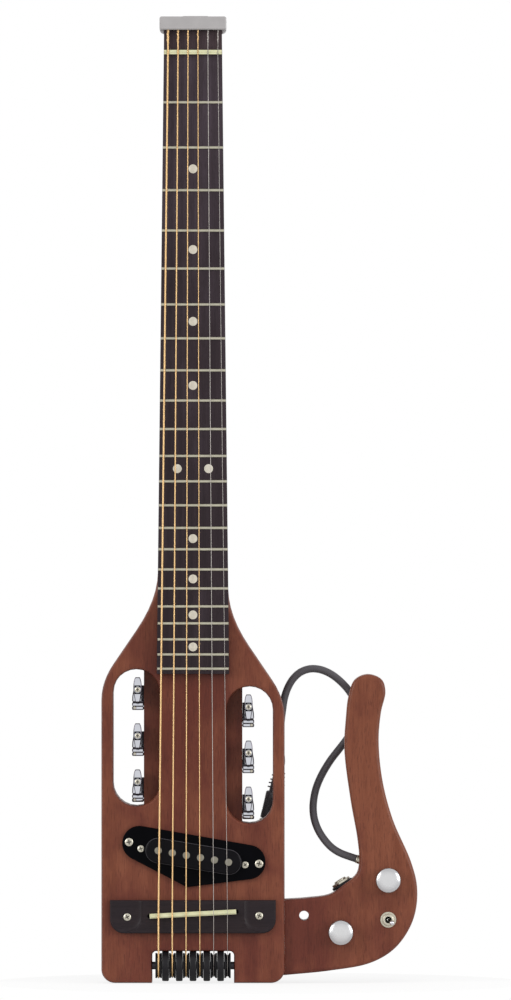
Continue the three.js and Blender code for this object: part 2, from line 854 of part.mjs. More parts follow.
function fretboard() {
  const outline = polygon([
    [-neckHalfWidth(fretboardEnd), fretboardEnd],
    [neckHalfWidth(fretboardEnd), fretboardEnd],
    [neckHalfWidth(headEndZ), headEndZ],
    [-neckHalfWidth(headEndZ), headEndZ],
  ]);
  const board = slab(outline, boardFrontY, frontY - glueGap);
  const frets = [];
  for (let number = 1; fretZ(number) > fretboardEnd + fretWidth; number += 1) {
    const half = neckHalfWidth(fretZ(number)) - fretSeat / 2;
    const crest = polygon([
      [boardFrontY + fretSeat, fretZ(number) - fretWidth / 2],
      [boardFrontY + fretSeat, fretZ(number) + fretWidth / 2],
      [boardFrontY - fretHeight / 3, fretZ(number) + fretWidth / 2],
      [boardFrontY - fretHeight, fretZ(number) + fretCrown / 2],
      [boardFrontY - fretHeight, fretZ(number) - fretCrown / 2],
      [boardFrontY - fretHeight / 3, fretZ(number) - fretWidth / 2],
    ]);
    frets.push(bar(crest, -half, half));
  }
  const slot = new THREE.BoxGeometry(
    2 * bodyHalfWidth,
    2 * nutSeatDepth,
    nutThickness + 2 * glueGap,
  ).translate(0, boardFrontY, nutFrontZ + nutThickness / 2);
  return cut(join(board, frets), [slot]);
}

// Where string number i crosses, as a share from -0.5 on the left to 0.5 on the right
function stringShare(i) {
  return i / (stringDiameters.length - 1) - 0.5;
}

function nut() {
  const half = neckHalfWidth(nutFrontZ) - fitGap;
  const seat = boardFrontY + nutSeatDepth - glueGap;
  const points = [[half, seat], [-half, seat]];
  const topY = frontY - stringRiseAtNut + fitGap;
  points.push([-half, topY]);
  stringDiameters.forEach((diameter, i) => {
    const x = stringSpreadAtNut * stringShare(i);
    const reach = diameter / 2 + fitGap;
    points.push([x - reach, topY], [x - reach, topY + nutSlotDepth]);
    points.push([x + reach, topY + nutSlotDepth], [x + reach, topY]);
  });
  points.push([half, topY]);
  const block = new THREE.ExtrudeGeometry(polygon(points), { depth: nutThickness, bevelEnabled: false });
  return block.translate(0, 0, nutFrontZ);
}

function headCap() {
  const plateBottom = overallLength - capPlateHeight;
  const earBottom = plateBottom - capEarLength;
  const plateFront = frontY - capFrontRise;
  const capBack = frontY + neckDepth(headEndZ) + fitGap + capBackWall;
  const plate = slab(
    roundedRectangle(-capHalfWidth, plateBottom, capHalfWidth, overallLength, capRound),
    plateFront,
    plateFront + capPlateDepth,
    capRound / 2,
  );
  const sleeve = slab(
    roundedRectangle(-capHalfWidth, earBottom, capHalfWidth, overallLength, capEarRound),
    plateFront + capPlateDepth / 2,
    capBack,
    capRound / 2,
  );
  const earFront = slab(
    roundedRectangle(-bodyHalfWidth, earBottom - overrun, bodyHalfWidth, plateBottom, 0),
    plateFront - overrun,
    plateFront + capPlateDepth,
  );
  const neckHalf = neckHalfWidth(headEndZ) + fitGap;
  const pocket = slab(
    roundedRectangle(-neckHalf, earBottom - overrun, neckHalf, plateBottom, 0),
    plateFront - overrun,
    capBack - capBackWall,
  );
  const seats = stringDiameters.map((diameter, i) => {
    const bore = rod(ballSeatRadius, -overrun, ballSeatLength, stringSides + 2);
    return bore.translate(stringSpreadAtNut * stringShare(i), frontY - stringRiseAtCap, plateBottom);
  });
  return cut(join(plate, [cut(sleeve, [earFront])]), [pocket, ...seats]);
}

// Strings

// Points on a circle in the Y-Z plane about a centre, with X running from one value to another
function arcPoints({ y, z }, radius, from, to, steps, fromX, toX) {
  const points = [];
  for (let i = 0; i <= steps; i += 1) {
    const share = i / steps;
    const angle = from + (to - from) * share;
    const x = fromX + (toX - fromX) * share;
    points.push(new THREE.Vector3(x, y + radius * Math.cos(angle), z + radius * Math.sin(angle)));
  }
  return points;
}

// The least distance between stretches of a path that lie apart along it, less its diameter
function leastSelfGap(points, diameter) {
  const dense = [];
  for (let i = 0; i + 1 < points.length; i += 1) {
    for (let k = 0; k < 4; k += 1) {
      dense.push(points[i].clone().lerp(points[i + 1], k / 4));
    }
  }
  const along = [0];
  for (let i = 1; i < dense.length; i += 1) {
    along.push(along[i - 1] + dense[i].distanceTo(dense[i - 1]));
  }
  let least = Infinity;
  const apart = 3 * postRadius;
  for (let i = 0; i < dense.length; i += 1) {
    for (let k = i + 1; k < dense.length; k += 1) {
      if (along[k] - along[i] > apart) {
        least = Math.min(least, dense[i].distanceTo(dense[k]));
      }
    }
  }
  return least - diameter;
}

// Which tuner each string goes to: the outer strings to the lowest posts
function tunerOfString(i) {
  const left = i < stringDiameters.length / 2;
  const row = left ? i : stringDiameters.length - 1 - i;
  return tunerPlaces().find((place) => place.side === (left ? -1 : 1) && place.row === row);
}

function saddleZ(x) {
  return saddleHeight + (saddleSlant * x) / (2 * saddleHalfLength);
}

// Where a string starts its winding on its post; each row's winding lies nearer the post's tip
function windingX(i) {
  const { side, row } = tunerOfString(i);
  return side * (stringSpreadAtSaddle / 2 - windingInsets[row]);
}

function stringPath(i) {
  const diameter = stringDiameters[i];
  const tuner = tunerOfString(i);
  const nutX = stringSpreadAtNut * stringShare(i);
  const tailX = stringSpreadAtSaddle * stringShare(i);
  const postX = windingX(i);
  const points = [];
  const ballZ = overallLength - capPlateHeight + ballSeatLength - fitGap;
  points.push(new THREE.Vector3(nutX, frontY - stringRiseAtCap, ballZ));
  points.push(new THREE.Vector3(nutX, frontY - stringRiseAtCap, headEndZ));
  points.push(new THREE.Vector3(nutX, frontY - stringRiseAtNut, nutFrontZ));
  const saddle = new THREE.Vector3(tailX, frontY - stringRiseAtSaddle, saddleZ(tailX));
  points.push(saddle);
  const roller = { y: axleY, z: axleHeight };
  const post = { y: tunerY, z: tuner.postZ };
  const rollerReach = grooveRadius + fitGap + diameter / 2;
  const postReach = postRadius + fitGap + diameter / 2;
  const toSaddle = Math.atan2(saddle.z - roller.z, saddle.y - roller.y);
  const saddleAway = Math.hypot(saddle.z - roller.z, saddle.y - roller.y);
  const on = toSaddle + Math.acos(rollerReach / saddleAway);
  const toPost = Math.atan2(post.z - roller.z, post.y - roller.y);
  const postAway = Math.hypot(post.z - roller.z, post.y - roller.y);
  const off = toPost - Math.acos((rollerReach + postReach) / postAway) + turn;
  points.push(...arcPoints(roller, rollerReach, on, off, rollerSteps, tailX, tailX));
  const windingEnd = postX - tuner.side * windingTurns * (diameter + windingGap);
  const start = off - Math.PI;
  const steps = windingTurns * windingSteps;
  points.push(...arcPoints(post, postReach, start, start - windingTurns * turn, steps, postX, windingEnd));
  return points;
}

function string(i) {
  const points = stringPath(i);
  const gap = leastSelfGap(points, stringDiameters[i]);
  console.log(`string_${i + 1}: least gap to itself ${gap.toFixed(2)} mm`);
  const ball = rod(ballRadius, -ballLength, 0, stringSides);
  ball.translate(points[0].x, points[0].y, points[0].z - fitGap);
  return join(tube(points, stringDiameters[i], stringSides), [ball]);
}

// Tail

function rollerX(i) {
  return stringSpreadAtSaddle * stringShare(i);
}

function stringRoller() {
  const half = rollerWidth / 2;
  const bore = axleRadius + fitGap;
  return alongX(ring([
    [bore, -half],
    [rollerRadius, -half],
    [grooveRadius, -grooveFloor / 2],
    [grooveRadius, grooveFloor / 2],
    [rollerRadius, half],
    [bore, half],
  ], discSegments));
}

function spacerDisc() {
  const half = spacerWidth / 2;
  const bore = axleRadius + fitGap;
  return alongX(ring([
    [bore, -half],
    [spacerRadius - spacerRound, -half],
    [spacerRadius, -half + spacerRound],
    [spacerRadius, half - spacerRound],
    [spacerRadius - spacerRound, half],
    [bore, half],
  ], discSegments));
}

function rollerAxle() {
  const half = tailHalfWidth + axleSeat - fitGap;
  return alongX(rod(axleRadius, -half, half));
}

// Bridge, saddle and pickups

function bridgeOutline() {
  const shape = new THREE.Shape();
  const top = bridgeBottom + bridgeHeight;
  const corner = bridgeCornerRadius;
  shape.moveTo(-bridgeHalfWidth + corner, bridgeBottom);
  shape.lineTo(bridgeHalfWidth - corner, bridgeBottom);
  shape.absarc(bridgeHalfWidth - corner, bridgeBottom + corner, corner, -quarter, 0);
  shape.lineTo(bridgeHalfWidth, top);
  shape.lineTo(-bridgeHalfWidth, top);
  shape.lineTo(-bridgeHalfWidth, bridgeBottom + corner);
  shape.absarc(-bridgeHalfWidth + corner, bridgeBottom + corner, corner, 2 * quarter, 3 * quarter);
  return shape;
}

// The saddle's outline in its slot, with round ends, grown by some margin
function saddleOutline(reach, margin, corner) {
  const [long, wide] = [saddleHalfLength + reach, saddleThickness / 2 + margin];
  return roundedRectangle(-long, -wide, long, wide, corner);
}

function slanted(geometry) {
  const slant = Math.atan2(saddleSlant, 2 * saddleHalfLength);
  return geometry.rotateY(-slant).translate(0, 0, saddleHeight);
}

function bridge() {
  const back = frontY - glueGap;
  const front = back - bridgeThickness;
  const plate = slab(bridgeOutline(), front, back, bridgeRound);
  const floor = front + bridgeThickness - saddleSeat + fitGap;
  const slotOutline = saddleOutline(saddleSlotReach, glueGap, saddleThickness / 2);
  const slot = slanted(slab(slotOutline, front - overrun, floor + saddlePickupThickness));
  const scoops = [-1, 1].map((side) => {
    const scoop = new THREE.Shape();
    scoop.absarc(side * wingScrewX, wingScrewHeight, wingScoopRadius, 0, turn);
    const left = wingScrewX - wingScoopRadius;
    const top = bridgeBottom + bridgeHeight + overrun;
    const spans = [side * left, side * (bridgeHalfWidth + overrun)].sort((a, b) => a - b);
    const flat = roundedRectangle(spans[0], wingScrewHeight, spans[1], top, 0);
    const depth = front + wingDrop;
    return join(slab(scoop, front - overrun, depth, 0, fine), [slab(flat, front - overrun, depth)]);
  });
  return cut(plate, [slot, ...scoops]);
}

function saddleSeatY() {
  return frontY - glueGap - saddleThicknessUnder();
}

function saddleThicknessUnder() {
  return saddleSeat - fitGap - saddlePickupThickness;
}

function saddle() {
  const lowY = saddleSeatY() - saddlePickupThickness + glueGap;
  const topY = frontY - stringRiseAtSaddle + stringDiameters[0] / 2 + fitGap;
  return slanted(slab(saddleOutline(0, 0, 0), topY, lowY - 2 * glueGap, saddleCrown));
}

function saddlePickup() {
  const half = saddleHalfLength - saddlePickupInset;
  const thick = saddleThickness / 2 - glueGap;
  const strip = roundedRectangle(-half, -thick, half, thick, 0);
  return slanted(slab(strip, saddleSeatY() - saddlePickupThickness, saddleSeatY() - glueGap));
}

function pickupPlate() {
  const outline = bandRound([
    [plateLeftX, plateLeftZ, plateEndRadius],
    [plateRightX, plateRightZ, plateEndRadius],
    [plateTipX, plateTipZ, plateTipRadius],
  ]);
  return slab(outline, frontY - glueGap - plateThickness, frontY - glueGap, bridgeRound / 3);
}

function pickup() {
  const radius = pickupWidth / 2;
  const end = pickupLength / 2 - radius;
  const shape = new THREE.Shape();
  shape.moveTo(-end, -radius);
  shape.lineTo(end, -radius);
  shape.absarc(end, 0, radius, -quarter, quarter);
  shape.lineTo(-end, radius);
  shape.absarc(-end, 0, radius, quarter, 3 * quarter);
  const back = frontY - 2 * glueGap - plateThickness;
  const front = back - pickupHeight;
  const poles = stringDiameters.map((diameter, i) => {
    const pole = alongY(rod(poleRadius, front - poleRise, front + overrun / 2, smallSegments));
    return pole.translate(polePitch * (stringDiameters.length - 1) * stringShare(i), 0, 0);
  });
  const cover = slab(shape, front, back, pickupRound, medium);
  const tilt = Math.atan2(pickupDrop, pickupLength);
  return join(cover, poles).rotateY(tilt).translate(pickupX, 0, pickupZ);
}

// Tuners, built about the worm's axis, with +X away from the guitar's centreline

function tunerHousing() {
  const base = ledgeHalfWidth + glueGap - buttonX;
  const outer = ledgeHalfWidth + housingReach - buttonX;
  const [deep, above, below] = [housingHalfDepth, housingAbove, housingBelow];
  const shell = bar(
    roundedRectangle(-deep, -below, deep, above, housingCornerRadius),
    base,
    outer,
    housingRound,
  );
  const [wall, corner] = [housingWall, housingCornerRadius - housingWall];
  const hollow = bar(
    roundedRectangle(-deep + wall, -below + wall, deep - wall, above - wall, corner),
    base - overrun,
    outer - housingWall,
  );
  // What lies under the shoulder, with its other corners out of the way
  const under = (margin) => {
    const radius = housingShoulder - margin;
    const [left, bottom] = [base - 2 * housingShoulder, -below - 2 * housingShoulder];
    const outline = roundedRectangle(left, bottom, outer - margin, above - margin, radius);
    return slab(outline, -deep - overrun, deep + overrun);
  };
  const bore = alongY(rod(shaftRadius + fitGap, -deep - overrun, 0, smallSegments));
  return cut(common(shell, under(0)), [common(hollow, under(wall)), bore]);
}

// The thread on the worm: one ridge that winds about Y, with its middle at the gear's top
function wormThread() {
  const steps = wormTurns * wormSegments;
  const inner = wormCoreRadius - threadSeat;
  const sections = [];
  for (let i = 0; i <= steps; i += 1) {
    const turned = turn * wormTurns * (i / steps - 0.5);
    const angle = Math.PI + turned;
    const along = (gearLead * turned) / turn;
    const place = (radius, aside) => new THREE.Vector3(
      radius * Math.sin(angle),
      along + aside,
      radius * Math.cos(angle),
    );
    sections.push([
      place(inner, -threadRoot / 2),
      place(inner, threadRoot / 2),
      place(wormTipRadius, threadTip / 2),
      place(wormTipRadius, -threadTip / 2),
    ]);
  }
  return loft(sections);
}

function tunerButton() {
  const shape = new THREE.Shape();
  const [long, wide, tip] = [buttonHalfLength, buttonHalfWidth, buttonTipWidth / 2];
  shape.moveTo(-tip, -long);
  shape.lineTo(tip, -long);
  shape.quadraticCurveTo(wide, -long / 2, wide, 0);
  shape.quadraticCurveTo(wide, long / 2, tip, long);
  shape.lineTo(-tip, long);
  shape.quadraticCurveTo(-wide, long / 2, -wide, 0);
  shape.quadraticCurveTo(-wide, -long / 2, -tip, -long);
  const front = buttonFrontDepth - tunerDepth;
  const back = buttonBackDepth - tunerDepth;
  const paddle = slab(shape, front, back, buttonRound);
  const recess = alongY(rod(buttonRecessRadius, front - overrun, front + buttonRecessDepth, smallSegments));
  const floor = front + buttonRecessDepth;
  const [screwFront, screwBack] = [floor - buttonScrewHeight, floor + buttonScrewHeight];
  const screw = alongY(rod(buttonScrewRadius, screwFront, screwBack, smallSegments));
  const end = housingHalfDepth - housingWall - fitGap;
  const shaft = alongY(turned([
    [shaftRadius, back - buttonScrewHeight],
    [shaftRadius, -housingHalfDepth + housingWall + fitGap],
    [wormCoreRadius, -housingHalfDepth + housingWall + 2 * fitGap],
    [wormCoreRadius, end],
  ], smallSegments));
  return join(cut(paddle, [recess]), [screw, shaft, wormThread()]);
}

// A wheel whose tooth gap faces the worm's ridge
function gearOutline() {
  const points = [];
  for (let i = 0; i < gearTeeth; i += 1) {
    const middle = quarter + (turn * (i + 0.5)) / gearTeeth;
    const corners = [[gearRootRadius, -toothRoot], [gearTipRadius, -toothTip]];
    corners.push([gearTipRadius, toothTip], [gearRootRadius, toothRoot]);
    for (const [radius, width] of corners) {
      const angle = middle + width / 2 / radius;
      points.push([radius * Math.cos(angle), radius * Math.sin(angle)]);
    }
  }
  return polygon(points);
}

function tunerPost() {
  const wheel = bar(gearOutline(), -gearThickness / 2, gearThickness / 2);
  const pivotEnd = ledgeHalfWidth + housingReach - buttonX - housingWall - fitGap;
  const tip = postTipX - buttonX;
  const shaft = alongX(turned([
    [postFlangeRadius, tip],
    [postFlangeRadius, tip + postFlangeWidth],
    [postRadius, tip + postFlangeWidth],
    [postRadius, gearThickness / 4],
    [postPivotRadius, gearThickness / 2 + fitGap],
    [postPivotRadius, pivotEnd],
  ], smallSegments));
  return join(shaft, [wheel]);
}

// Lap rest

function armOutline() {
  const [first, ...rest] = armOutlineShares.map(
    ([across, up]) => new THREE.Vector2(armX + armReach * across, armBase + armHeight * up),
  );
  const last = rest[rest.length - 1];
  const shape = new THREE.Shape();
  shape.moveTo(first.x - armEndTrim, first.y);
  shape.lineTo(first.x, first.y);
  shape.splineThru(rest);
  shape.lineTo(last.x - armEndTrim, last.y);
  shape.closePath();
  return shape;
}

function cavityCircles(margin) {
  return [
    [volumeX, volumeZ, potCavityRadius + margin],
    [switchX, switchZ, switchCavityRadius + margin],
    [toneX, toneZ, potCavityRadius + margin],
  ];
}

function outputAxis(geometry) {
  return leaning(geometry, -outputLean).translate(outputX, armMidY, outputZ);
}

function glandAxis(geometry) {
  return leaning(geometry, glandRise - 90).translate(glandX, armMidY, glandZ);
}

function lapRest() {
  const arm = slab(armOutline(), armFrontY, armBackY, armRound, coarse);
  const coverSeat = armBackY - coverThickness - coverSink;
  const trim = roundedRectangle(armX - 2 * armEndTrim, 0, armX, armHeight / 2, 0);
  const cutters = [
    slab(trim, armFrontY - overrun, armBackY + overrun),
    slab(bandRound(cavityCircles(0)), armFrontY + armWall, armBackY + overrun),
    slab(bandRound(cavityCircles(coverLip)), coverSeat - glueGap, armBackY + overrun),
    alongY(rod(pegHoleRadius, armFrontY - overrun, armBackY + overrun)).translate(pegHoleX, 0, pegHoleZ),
    outputAxis(rod(outputBarrelRadius + fitGap, -outputBarrelLength, overrun)),
    outputAxis(rod(outputWasherRadius + fitGap, 0, 3 * overrun)),
    glandAxis(rod(glandRadius + fitGap, -glandLength, overrun)),
  ];
  const shaftBore = alongY(rod(potBushRadius + fitGap, armFrontY - overrun, armFrontY + 2 * armWall));
  cutters.push(shaftBore.clone().translate(volumeX, 0, volumeZ));
  cutters.push(shaftBore.clone().translate(toneX, 0, toneZ));
  const switchBore = alongY(rod(switchBushRadius + fitGap, armFrontY - overrun, armFrontY + 2 * armWall));
  cutters.push(switchBore.translate(switchX, 0, switchZ));
  for (const height of armPinHeights) {
    const reach = armPinLength - armPinSeat + fitGap;
    const bore = rod(armPinRadius + fitGap, -overrun, reach, smallSegments);
    cutters.push(alongX(bore).translate(armX, armMidY, height));
  }
  return cut(arm, cutters);
}

function controlCover() {
  const back = armBackY - coverSink;
  return slab(bandRound(cavityCircles(coverLip - fitGap)), back - coverThickness, back);
}

function armPin() {
  const round = fitGap;
  const [from, to] = [-armPinSeat, armPinLength - armPinSeat];
  return alongX(turned([
    [armPinRadius - 2 * round, from],
    [armPinRadius, from + 2 * round],
    [armPinRadius, to],
  ], smallSegments));
}

// Controls, turned about their own axes, with the lap rest's front at Y = 0

function potentiometer() {
  const floor = armWall + glueGap;
  return alongY(turned([
    [potShaftRadius, -potShaftLength],
    [potShaftRadius, -knobStandoff + glueGap],
    [potBushRadius, -knobStandoff + glueGap],
    [potBushRadius, floor],
    [potRadius, floor],
    [potRadius, floor + potDepth],
  ]));
}

function knob() {
  const [base, top] = [-knobStandoff, -knobStandoff - knobHeight];
  const profile = [[potShaftRadius + fitGap, base], [knobRadius, base]];
  for (let i = 0; i <= domeSteps; i += 1) {
    const angle = (quarter * i) / domeSteps;
    profile.push([knobRadius * Math.cos(angle) ** domeFullness, top + knobDome * (1 - Math.sin(angle))]);
  }
  const seat = -potShaftLength - fitGap;
  const closed = [[0, seat], [potShaftRadius + fitGap, seat], ...profile];
  const points = closed.map(([radius, height]) => new THREE.Vector2(Math.max(radius, 0), height));
  points[points.length - 1].x = 0;
  return alongY(new THREE.LatheGeometry(points, roundSegments).rotateX(quarter));
}

function switchBody() {
  const floor = armWall + glueGap;
  const half = switchHalfWidth;
  const box = slab(roundedRectangle(-half, -half, half, half, 0), floor, floor + switchBodyDepth);
  const washerFront = -glueGap - switchWasherThickness;
  const nutFront = washerFront - switchNutThickness;
  const bush = alongY(turned([
    [switchNutRadius, nutFront],
    [switchNutRadius, washerFront],
    [switchWasherRadius, washerFront],
    [switchWasherRadius, -glueGap],
    [switchBushRadius, -glueGap],
    [switchBushRadius, floor + overrun / 2],
  ]));
  const mouth = alongY(turned([
    [2 * switchMouthRadius, nutFront - overrun],
    [switchMouthRadius, nutFront],
    [switchMouthRadius, leverPivotDepth + leverBallRadius + fitGap],
  ]));
  return cut(join(box, [bush]), [mouth]);
}

function switchLever() {
  const ball = new THREE.SphereGeometry(leverBallRadius, smallSegments, smallSegments / 2);
  const stick = alongY(turned([
    [leverTipRadius / 2, -leverLength],
    [leverTipRadius, -leverLength + leverTipRadius / 2],
    [leverTipRadius, -leverLength + 2 * leverTipRadius],
    [leverRadius, -leverLength + 3 * leverTipRadius],
    [leverRadius, 0],
  ], smallSegments));
  const lean = THREE.MathUtils.degToRad(leverTilt);
  return join(stick, [ball]).rotateZ(lean).rotateY(-THREE.MathUtils.degToRad(leverTurn));
}

function outputJack() {
  const washerTop = glueGap + outputWasherThickness;
  const nutTop = washerTop + outputNutThickness;
  const hex = turned([[outputNutRadius, washerTop], [outputNutRadius, nutTop]], hexSides);
  const barrel = turned([
    [outputBarrelRadius, -outputBarrelLength + overrun],
    [outputBarrelRadius, glueGap],
    [outputWasherRadius, glueGap],
    [outputWasherRadius, washerTop],
    [outputBarrelRadius, washerTop],
    [outputBarrelRadius, nutTop + outputWasherThickness / 2],
  ]);
  const bore = rod(jackBoreRadius, -outputBarrelLength / 2, nutTop + overrun);
  return outputAxis(cut(join(barrel, [hex]), [bore]));
}

// Cord

// The gland runs from inside the lap rest to its mouth; the cord starts just past it
function cordGland() {
  const body = turned([
    [glandRadius, -glandLength + fitGap],
    [glandRadius, 0],
    [glandRadius - fitGap, glandCollar],
  ], smallSegments);
  const bore = rod(cordDiameter / 2, -glandLength / 2, glandCollar + overrun, smallSegments);
  return glandAxis(cut(body, [bore]));
}

function cordPoints() {
  const rise = THREE.MathUtils.degToRad(glandRise);
  const out = new THREE.Vector3(-Math.cos(rise), 0, Math.sin(rise));
  const gland = new THREE.Vector3(glandX, armMidY, glandZ);
  const start = gland.clone().addScaledVector(out, glandCollar + fitGap);
  const straight = start.clone().addScaledVector(out, cordDiameter);
  const [endX, endZ] = alongPlug(plugHandleLength + reliefLength + fitGap);
  const [beforeX, beforeZ] = alongPlug(plugHandleLength + reliefLength + fitGap + cordDiameter);
  const end = new THREE.Vector3(endX, plugY, endZ);
  const before = new THREE.Vector3(beforeX, plugY, beforeZ);
  const route = cordRoute.map(([x, y, z]) => new THREE.Vector3(armX + x, y, z));
  return [start, straight, ...route, before, end];
}

function cord() {
  const curve = new THREE.CatmullRomCurve3(cordPoints(), false, 'centripetal');
  return tube(curve.getSpacedPoints(cordSteps), cordDiameter, cordSides);
}

function cordPlug() {
  const profile = [
    [plugPinRadius / 2, -plugPinLength],
    [plugPinRadius, -plugPinLength + plugTipLength],
    [plugPinRadius, bodyJackFlangeThickness + fitGap],
    [plugHandleRadius - fitGap, bodyJackFlangeThickness + fitGap],
    [plugHandleRadius, bodyJackFlangeThickness + 3 * fitGap],
    [plugHandleRadius, plugHandleLength - 3 * fitGap],
    [plugHandleRadius - 3 * fitGap, plugHandleLength],
  ];
  for (let i = 0; i < reliefRibs; i += 1) {
    const low = plugHandleLength + reliefPitch * i;
    profile.push([reliefRadius - reliefGroove, low + reliefPitch * reliefGrooveShare]);
    profile.push([reliefRadius, low + reliefPitch / 2]);
    profile.push([reliefRadius, low + reliefPitch]);
  }
  profile.push([cordDiameter / 2 + fitGap, plugHandleLength + reliefLength]);
  return leaning(turned(profile, discSegments), plugLean).translate(plugX, plugY, plugZ);
}

function bodyJack() {
  const bore = plugPinRadius + fitGap;
  const sleeve = ring([
    [bore, -bodyJackLength],
    [bodyJackRadius, -bodyJackLength],
    [bodyJackRadius, glueGap],
    [bodyJackFlange, glueGap],
    [bodyJackFlange, bodyJackFlangeThickness],
    [bore, bodyJackFlangeThickness],
  ]);
  return leaning(sleeve, plugLean).translate(plugX, plugY, plugZ);
}

// Assembly

function piece(name, geometry, material, x = 0, y = 0, z = 0) {
  const mesh = new THREE.Mesh(welded(geometry), material());
  mesh.name = name;
  mesh.position.set(x, y, z);
  return mesh;
}

const guitar = new THREE.Group();
guitar.add(
  piece('body_and_neck', bodyAndNeck(), mahogany),
  piece('fretboard', fretboard(), rosewood),
  piece('nut', nut(), bone),
  piece('head_cap', headCap(), castGrey),
  piece('bridge', bridge(), rosewood),
  piece('saddle', saddle(), bone),
  piece('saddle_pickup', saddlePickup(), castGrey),
  piece('pickup_plate', pickupPlate(), glossBlack),
  piece('pickup', pickup(), satinBlack),
  piece('roller_axle', rollerAxle(), steel, 0, axleY, axleHeight),
  piece('body_jack', bodyJack(), chrome),
);

stringDiameters.forEach((diameter, i) => {
  const wound = i < 4;
  guitar.add(piece(`string_${i + 1}`, string(i), wound ? bronze : steel));
  guitar.add(piece(`string_roller_${i + 1}`, stringRoller(), satinBlack, rollerX(i), axleY, axleHeight));
  if (i + 1 < stringDiameters.length) {
    const between = (rollerX(i) + rollerX(i + 1)) / 2;
    guitar.add(piece(`spacer_disc_${i + 1}`, spacerDisc(), satinBlack, between, axleY, axleHeight));
  }
});

for (const { side, row, z, postZ } of tunerPlaces()) {
  const number = side < 0 ? row + 1 : row + 4;
  const facing = (geometry) => geometry.scale(side, 1, 1);
  guitar.add(
    piece(`tuner_housing_${number}`, facing(tunerHousing()), chrome, side * buttonX, tunerY, z),
    piece(`tuner_button_${number}`, facing(tunerButton()), chrome, side * buttonX, tunerY, z),
    piece(`tuner_post_${number}`, facing(tunerPost()), chrome, side * buttonX, tunerY, postZ),
  );
}

const lapRestGroup = new THREE.Group();
lapRestGroup.add(
  piece('lap_rest', lapRest(), mahogany),
  piece('control_cover', controlCover(), satinBlack),
  piece('output_jack', outputJack(), chrome),
  piece('volume_pot', potentiometer(), steel, volumeX, armFrontY, volumeZ),
  piece('tone_pot', potentiometer(), steel, toneX, armFrontY, toneZ),
  piece('volume_knob', knob(), chrome, volumeX, armFrontY, volumeZ),
  piece('tone_knob', knob(), chrome, toneX, armFrontY, toneZ),
  piece('switch_body', switchBody(), steel, switchX, armFrontY, switchZ),
  piece('switch_lever', switchLever(), chrome, switchX, armFrontY + leverPivotDepth, switchZ),
  piece('cord_gland', cordGland(), steel),
);
armPinHeights.forEach((height, i) => {
  lapRestGroup.add(piece(`lap_rest_pin_${i + 1}`, armPin(), steel, armX, armMidY, height));
});

const leadGroup = new THREE.Group();
leadGroup.add(piece('cord', cord(), rubber), piece('cord_plug', cordPlug(), satinBlack));

// The origin is the middle of the bottom of all that the guitar is made of but its cord
const travelGuitar = new THREE.Group();
travelGuitar.add(guitar, lapRestGroup);
const extent = new THREE.Box3().setFromObject(travelGuitar);
const middle = extent.getCenter(new THREE.Vector3());
travelGuitar.add(leadGroup);
for (const group of travelGuitar.children) {
  group.position.set(-middle.x, -middle.y, -extent.min.z);
}

export default travelGuitar;
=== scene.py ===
import math

import bpy
from mathutils import Matrix, Vector


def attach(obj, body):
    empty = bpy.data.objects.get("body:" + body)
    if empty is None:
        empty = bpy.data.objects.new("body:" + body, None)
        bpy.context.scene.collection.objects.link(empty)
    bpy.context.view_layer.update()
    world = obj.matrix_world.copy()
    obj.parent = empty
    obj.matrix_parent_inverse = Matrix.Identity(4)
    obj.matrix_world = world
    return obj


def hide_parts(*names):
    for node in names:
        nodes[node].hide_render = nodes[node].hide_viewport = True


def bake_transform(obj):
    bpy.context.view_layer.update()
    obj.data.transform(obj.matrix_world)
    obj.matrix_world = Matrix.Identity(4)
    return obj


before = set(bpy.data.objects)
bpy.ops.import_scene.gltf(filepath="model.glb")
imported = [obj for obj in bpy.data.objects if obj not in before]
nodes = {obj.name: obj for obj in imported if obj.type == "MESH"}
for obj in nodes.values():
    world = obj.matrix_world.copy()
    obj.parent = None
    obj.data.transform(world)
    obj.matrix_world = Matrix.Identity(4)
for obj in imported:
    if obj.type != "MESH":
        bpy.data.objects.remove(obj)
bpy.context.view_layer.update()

print("frame loaded,", len(nodes), "solids")

# All sizes below are in millimetres in the guitar's own frame, which has X = 0 on the neck's
# centreline and Y = 0 in the middle of the body's thickness
mm = 0.001
rowShift = Vector((-48.9349, 5.625, 0))

guitar = {
    "frontY": -22.25, "boardFrontY": -28.35, "boardEndZ": 227.8, "nutZ": 683.86, "headEndZ": 701.5,
    "scaleLength": 628.65, "halfWidthAtNut": 21.5, "halfWidthAtEnd": 26.7, "axleY": -14.2, "axleZ": 12.6,
    "tunerY": 3.5, "armFrontY": -16.0, "armMidY": -3.5, "glueGap": 0.1,
}
facing = (0, -1, 0)
backward = (0, 1, 0)
rightward = (1, 0, 0)


def at(x, y, z):
    return (Vector((x, y, z)) + rowShift) * mm


def lean(degrees):
    # a direction that leans from straight up towards the right
    angle = math.radians(degrees)
    return Vector((math.sin(angle), 0, math.cos(angle)))


def halfWidth(z):
    share = (z - guitar["boardEndZ"]) / (guitar["nutZ"] - guitar["boardEndZ"])
    return guitar["halfWidthAtEnd"] + (guitar["halfWidthAtNut"] - guitar["halfWidthAtEnd"]) * share


# Camera, where the photographer's long lens looks straight at the front
cameraLook = {"away": 9.0, "frameHeight": 0.7366, "middleX": 46.04, "middleZ": 355.8}
bpy.ops.object.camera_add(rotation=(math.pi / 2, 0, 0))
camera = bpy.context.object
camera.name = "camera"
camera.location = at(cameraLook["middleX"], guitar["frontY"], cameraLook["middleZ"])
camera.location.y -= cameraLook["away"]
camera.data.sensor_width = 36
camera.data.lens = camera.data.sensor_width * cameraLook["away"] / cameraLook["frameHeight"]
camera.data.clip_end = 100
bpy.context.scene.camera = camera
bpy.context.scene.view_settings.view_transform = "Standard"
print("camera placed")


# Shader maths

